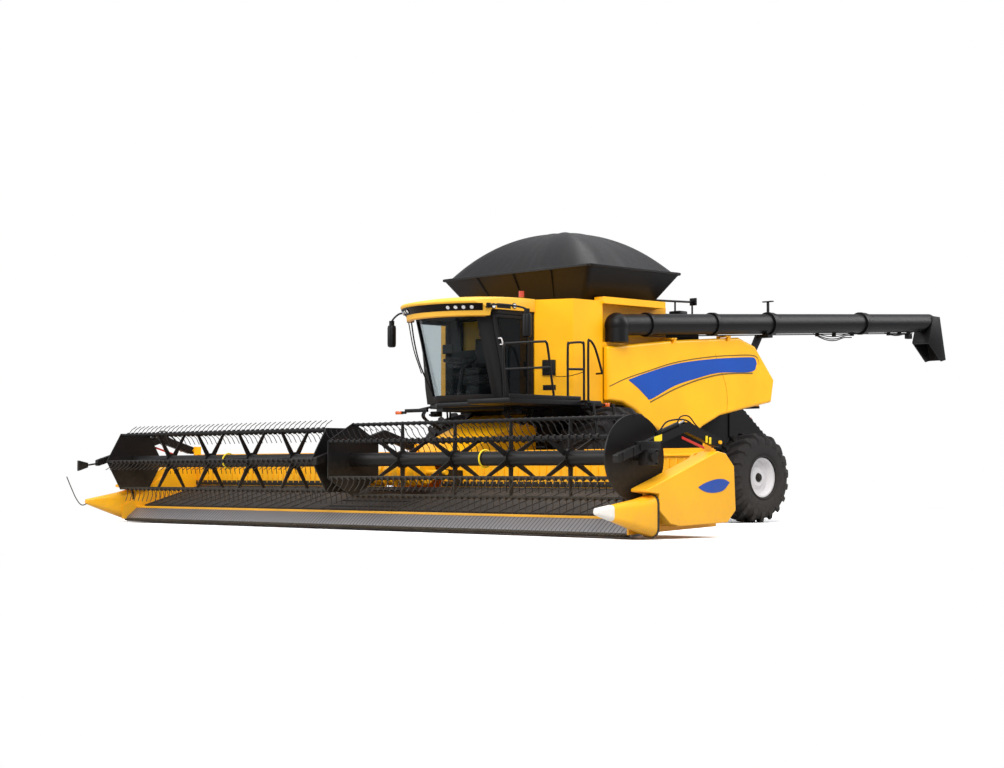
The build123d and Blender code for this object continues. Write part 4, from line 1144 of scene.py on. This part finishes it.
arms = [slab(1.935, 1.965, 3.38, 3.585, 1.925, 1.965),
        slab(-1.61, -1.50, 2.345, 2.375, 1.855, 1.90, soft=0.004),
        slab(-1.51, -0.95, 2.335, 2.385, 1.875, 1.935, soft=0.006),
        bar((-1.3, 2.36, 1.90), (-0.95, 2.5, 1.97), 0.02)]
fitted(one_mesh("marker_lamp_arms", arms), black, "machine")


def on_corner(share, z0, z1, out):
    """A flat plate on the slanting corner of the tank, between two shares of its width."""
    first, last = Vector((1.126, 3.012)), Vector((1.33, 3.103))
    along = last - first
    away = Vector((along.y, -along.x)).normalized() * out
    p, q = first + along * share[0], first + along * share[1]
    return upright([tuple(p), tuple(q), tuple(q + away), tuple(p + away)], z0, z1)


box_parts = [softened(on_corner((0.0, 1.0), 2.429, 2.675, 0.045), 0.012),
             softened(on_corner((0.0, 1.0), 2.189, 2.273, 0.008), 0.006),
             softened(on_corner((0.2, 0.8), 2.50, 2.62, 0.055), 0.006)]
switch_box = one_mesh("corner_switch_box", box_parts)
fitted(switch_box, moulded, "machine")
chain = pipe([(1.30, 3.07, 2.45), (1.42, 3.04, 2.40), (1.60, 3.10, 2.40), (1.78, 3.14, 2.43),
              (1.89, 3.16, 2.46)], 0.006, sides=6)
chain.name = "rail_chain"
fitted(chain, black, "machine")

# ---- Inside the cab --------------------------------------------------------------------------------
# An air-sprung seat with stuffed pads covered in coated cloth, a steering column that leans back to the
# driver, an armrest console on the right, a small screen on a stalk, and wipers outside the windscreen.


SETTLED = 20   # frames after which the cloth moves no more


def stuffed(piece, swell):
    """Lets the cover of a pad swell over its stuffing by no more than so much."""
    applied(piece, "REMESH", mode="VOXEL", voxel_size=0.006)
    home = [vertex.co.copy() for vertex in piece.data.vertices]
    bpy.ops.object.modifier_add(type="CLOTH")
    step = piece.modifiers[0]
    step.settings.use_pressure = True
    step.settings.uniform_pressure_force = 4.0
    step.settings.effector_weights.gravity = 0.0
    for number in range(1, SETTLED + 1):
        scene.frame_set(number)
    bpy.ops.object.modifier_apply(modifier=step.name)
    scene.frame_set(1)
    for vertex, start in zip(piece.data.vertices, home):
        move = vertex.co - start
        if move.length > swell:
            vertex.co = start + move * (swell / move.length)
    return piece


SWELL = 0.012
pads = {"seat_cushion": slab(-0.25, 0.25, 2.42, 2.83, 2.455, 2.565, soft=0.035),
        "seat_backrest": slab(-0.23, 0.23, 2.745, 2.845, 2.60, 3.08, soft=0.035),
        "seat_headrest": slab(-0.14, 0.14, 2.76, 2.845, 3.11, 3.25, soft=0.03)}
for title, pad in pads.items():
    pad.name = title
    fitted(stuffed(pad, SWELL), cloth, "machine", angle=60)
base = [slab(-0.15, 0.15, 2.50, 2.78, 2.06, 2.30, soft=0.02),
        slab(-0.20, 0.20, 2.46, 2.80, 2.30, 2.45, soft=0.02),
        slab(-0.05, 0.05, 2.80, 2.85, 2.45, 3.15, soft=0.01)]
for k in range(5):
    base.append(slab(-0.17, 0.17, 2.475, 2.79, 2.31 + 0.026 * k, 2.322 + 0.026 * k, soft=0.004))
seat_base = one_mesh("seat_suspension", base)
fitted(seat_base, moulded, "machine")
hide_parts("seat")
fresh()
bpy.ops.mesh.primitive_torus_add(location=(0, knife + 2.34, 2.66), rotation=(math.radians(28), 0, 0),
                                 major_radius=0.19, minor_radius=0.015, major_segments=48, minor_segments=10)
steering_wheel = bpy.context.object
column = [steering_wheel, slab(-0.09, 0.09, 2.17, 2.30, 2.06, 2.10, soft=0.01),
          pipe([(0, 2.20, 2.08), (0, 2.23, 2.28), (0, 2.28, 2.46), (0, 2.33, 2.63)], 0.032, sides=14),
          bar((-0.18, 2.34, 2.66), (0.18, 2.34, 2.66), 0.013, 8),
          bar((0, 2.33, 2.63), (0, 2.35, 2.685), 0.05, 20)]
steering = one_mesh("steering_gear", column)
fitted(steering, moulded, "machine")
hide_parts("steering_column")
desk = [slab(-0.52, -0.32, 2.36, 2.80, 2.06, 2.66, soft=0.03),
        slab(-0.50, -0.34, 2.30, 2.72, 2.68, 2.74, soft=0.02),
        bar((-0.42, 2.33, 2.74), (-0.42, 2.30, 2.86), 0.016),
        bar((-0.42, 2.28, 2.85), (-0.42, 2.31, 2.92), 0.03, 12),
        slab(-0.32, -0.08, 2.13, 2.16, 2.80, 2.95, soft=0.01),
        bar((-0.2, 2.15, 2.82), (-0.30, 2.32, 2.66), 0.012),
        slab(-0.92, 0.92, 2.02, 2.86, 3.40, 3.445, soft=0.02),   # the ceiling lining
        slab(0.62, 0.82, 2.56, 2.80, 2.06, 2.52, soft=0.03)]
fitted(one_mesh("cab_console", desk), moulded, "machine")
wipe = [pipe([(-0.83, 1.90, 3.36), (-0.81, 1.96, 2.98), (-0.78, 2.06, 2.62), (-0.68, 2.24, 2.16)], 0.012,
             sides=8),
        pipe([(-0.87, 1.88, 3.33), (-0.85, 1.97, 2.90), (-0.80, 2.10, 2.50)], 0.009, sides=6),
        slab(-0.90, -0.78, 1.86, 1.93, 3.33, 3.38, soft=0.008)]
fitted(one_mesh("windscreen_wiper", wipe), moulded, "machine")

# ---- Mirrors ---------------------------------------------------------------------------------------
# The mirrors' tall round housings are black mouldings, on bent arms of steel tube that are bolted to the roof.
HOUSING = [(0.045, 2.975), (0.068, 2.99), (0.073, 3.03), (0.073, 3.30), (0.066, 3.335), (0.045, 3.345)]
AROUND = [math.tau * k / 24 for k in range(24)]
for side, sign in (("left", 1), ("right", -1)):
    mirror_x, mirror_a = sign * 1.64, 2.16
    arm = [pipe([(sign * 1.0, 1.93, 3.50), (sign * 1.2, 1.96, 3.50), (sign * 1.5, 2.10, 3.46),
                 (mirror_x, mirror_a, 3.40), (mirror_x, mirror_a, 3.30)], 0.016),
           slab(sign * 0.97, sign * 1.035, 1.89, 1.97, 3.46, 3.54, soft=0.01),
           bar((mirror_x, mirror_a, 3.335), (mirror_x, mirror_a, 3.42), 0.045, 16),
           skin_over("housing", [[(mirror_x + r * math.cos(turn), mirror_a + r * math.sin(turn), z)
                                  for turn in AROUND] for r, z in HOUSING])]
    mirror = one_mesh(f"mirror_housing_{side}", arm)
    fitted(mirror, black, "machine")
    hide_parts(f"mirror_{side}")

# ---- Wheel centres ---------------------------------------------------------------------------------
# Each painted rim is bolted to its hub by a ring of steel nuts, round a black cap that keeps the grease in.
HUBS = [  # axle, outer face of the rim's disc, radius of the ring of nuts, radius of the cap, number of nuts
    ("front", 1.880, 0.165, 0.112, 12),
    ("rear", 1.730, 0.125, 0.078, 10),
]
for end, face_x, bolt_ring, hub, count in HUBS:
    low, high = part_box(f"{end}_rim_left")
    a, z = (low[1] + high[1]) / 2 - knife, (low[2] + high[2]) / 2
    nuts = []
    for k in range(count):
        turn = math.tau * k / count
        spot = (a + bolt_ring * math.cos(turn), z + bolt_ring * math.sin(turn))
        nuts.append(bar((face_x - 0.005, *spot), (face_x + 0.026, *spot), 0.016, 6))
    cap = [bar((face_x - 0.02, a, z), (face_x + 0.05, a, z), hub, 28, tip=hub * 0.9),
           bar((face_x + 0.04, a, z), (face_x + 0.075, a, z), hub * 0.6, 24, tip=hub * 0.5)]
    for parts, title, finish in ((nuts, "wheel_nuts", silver), (cap, "hub_cap", chassis)):
        left = one_mesh(f"{end}_{title}_left", parts)
        right = copied(left, f"{end}_{title}_right", MIRROR_X)
        for piece, side in ((left, "left"), (right, "right")):
            fitted(piece, finish, f"{end}_wheel_{side}")

# ---- Engine deck and rear --------------------------------------------------------------------------
# On the deck stand the air intake, the exhaust and a guard rail; on the right a round screen keeps chaff out
# of the radiator. Below the hood a louvred chute of folded steel feeds two bladed spreader discs.
deck_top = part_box("engine_deck")[1][2]
deck_parts = [bar((0.30, 6.15, deck_top - 0.02), (0.30, 6.15, deck_top + 0.08), 0.19, 36),
              bar((0.30, 6.15, deck_top + 0.07), (0.30, 6.15, deck_top + 0.11), 0.205, 36, tip=0.16),
              bar((-0.80, 6.20, deck_top - 0.02), (-0.80, 6.20, deck_top + 0.12), 0.075, 24)]
for a in (5.9, 6.4, 6.85):
    deck_parts.append(bar((0.95, a, deck_top - 0.01), (0.95, a, 3.84), 0.016, 8))
deck_parts.append(pipe([(0.95, 5.85, 3.83), (0.95, 6.4, 3.845), (0.95, 6.9, 3.86)], 0.019))
deck_parts.append(slab(0.88, 1.02, 6.86, 6.90, 3.80, 3.93, soft=0.006))
deck_parts.append(slab(0.80, 1.05, 6.40, 6.62, deck_top - 0.01, deck_top + 0.12, soft=0.02))
fitted(one_mesh("deck_fittings", deck_parts), black, "machine")
SCREEN_X, SCREEN_A, SCREEN_Z = -1.395, 6.05, 3.27
grid = [bar((SCREEN_X, SCREEN_A, SCREEN_Z), (SCREEN_X - 0.06, SCREEN_A, SCREEN_Z), 0.26, 48)]
for k in range(9):
    grid.append(slab(SCREEN_X - 0.075, SCREEN_X - 0.05, SCREEN_A - 0.25, SCREEN_A + 0.25, 3.05 + 0.055 * k,
                     3.062 + 0.055 * k))
grid.append(bar((SCREEN_X - 0.05, SCREEN_A, SCREEN_Z), (SCREEN_X - 0.09, SCREEN_A, SCREEN_Z), 0.06, 24))
fitted(one_mesh("radiator_screen", grid), chassis, "machine")
DISC_A = 9.30
slats = []
for k in range(9):
    a, z = 8.30 + 0.094 * k, 2.085 - 0.0695 * k
    slat = [(a - 0.02, z - 0.01), (a - 0.045, z + 0.02), (a, z + 0.045), (a + 0.03, z)]
    slats.append(crosswise(slat, -0.79, 0.79))
for x in (-0.4, 0.4):
    slats.append(bar((x, DISC_A, 1.02), (x, DISC_A, 1.06), 0.30, 36))
    slats.append(slab(x - 0.28, x + 0.28, DISC_A - 0.006, DISC_A + 0.006, 0.97, 1.03))
    slats.append(slab(x - 0.006, x + 0.006, DISC_A - 0.28, DISC_A + 0.28, 0.97, 1.03))
fitted(one_mesh("chute_louvres", slats), black, "machine")
tail_lamps = [slab(sign * 0.62, sign * 0.76, 8.62, 8.70, 1.80, 1.88, soft=0.01) for sign in (1, -1)]
fitted(one_mesh("tail_lamps", tail_lamps), red_lens, "machine")

# ---- Hydraulic lines -------------------------------------------------------------------------------
# Stiff black pressure lines hang in loops below both sides of the platform, beside a valve block with plugs.
HOSES = (  # X at the rear and in front
    (0.92, 0.96), (0.98, 1.01), (1.04, 1.06), (-0.92, -0.96), (-0.98, -1.01))
lines = []
for k, (x0, x1) in enumerate(HOSES):
    lines.append(pipe([(x0, 2.90 - 0.02 * k, 1.90), (x0, 2.82, 1.76), (x0, 2.66, 1.68 - 0.02 * k),
                       (x1, 2.44, 1.70), (x1, 2.30, 1.80), (x1, 2.34, 1.90)], 0.016, sides=8))
for x, a in ((1.02, 2.5), (-1.0, 2.6)):
    # a valve block and its three plugs
    lines.append(slab(x - 0.09, x + 0.09, a - 0.06, a + 0.06, 1.80, 1.89, soft=0.012))
    for k in range(3):
        plug_x = x - 0.05 + 0.05 * k
        lines.append(bar((plug_x, a - 0.05, 1.83), (plug_x, a - 0.11, 1.83), 0.016, 10))
fitted(one_mesh("platform_pressure_lines", lines), moulded, "machine")
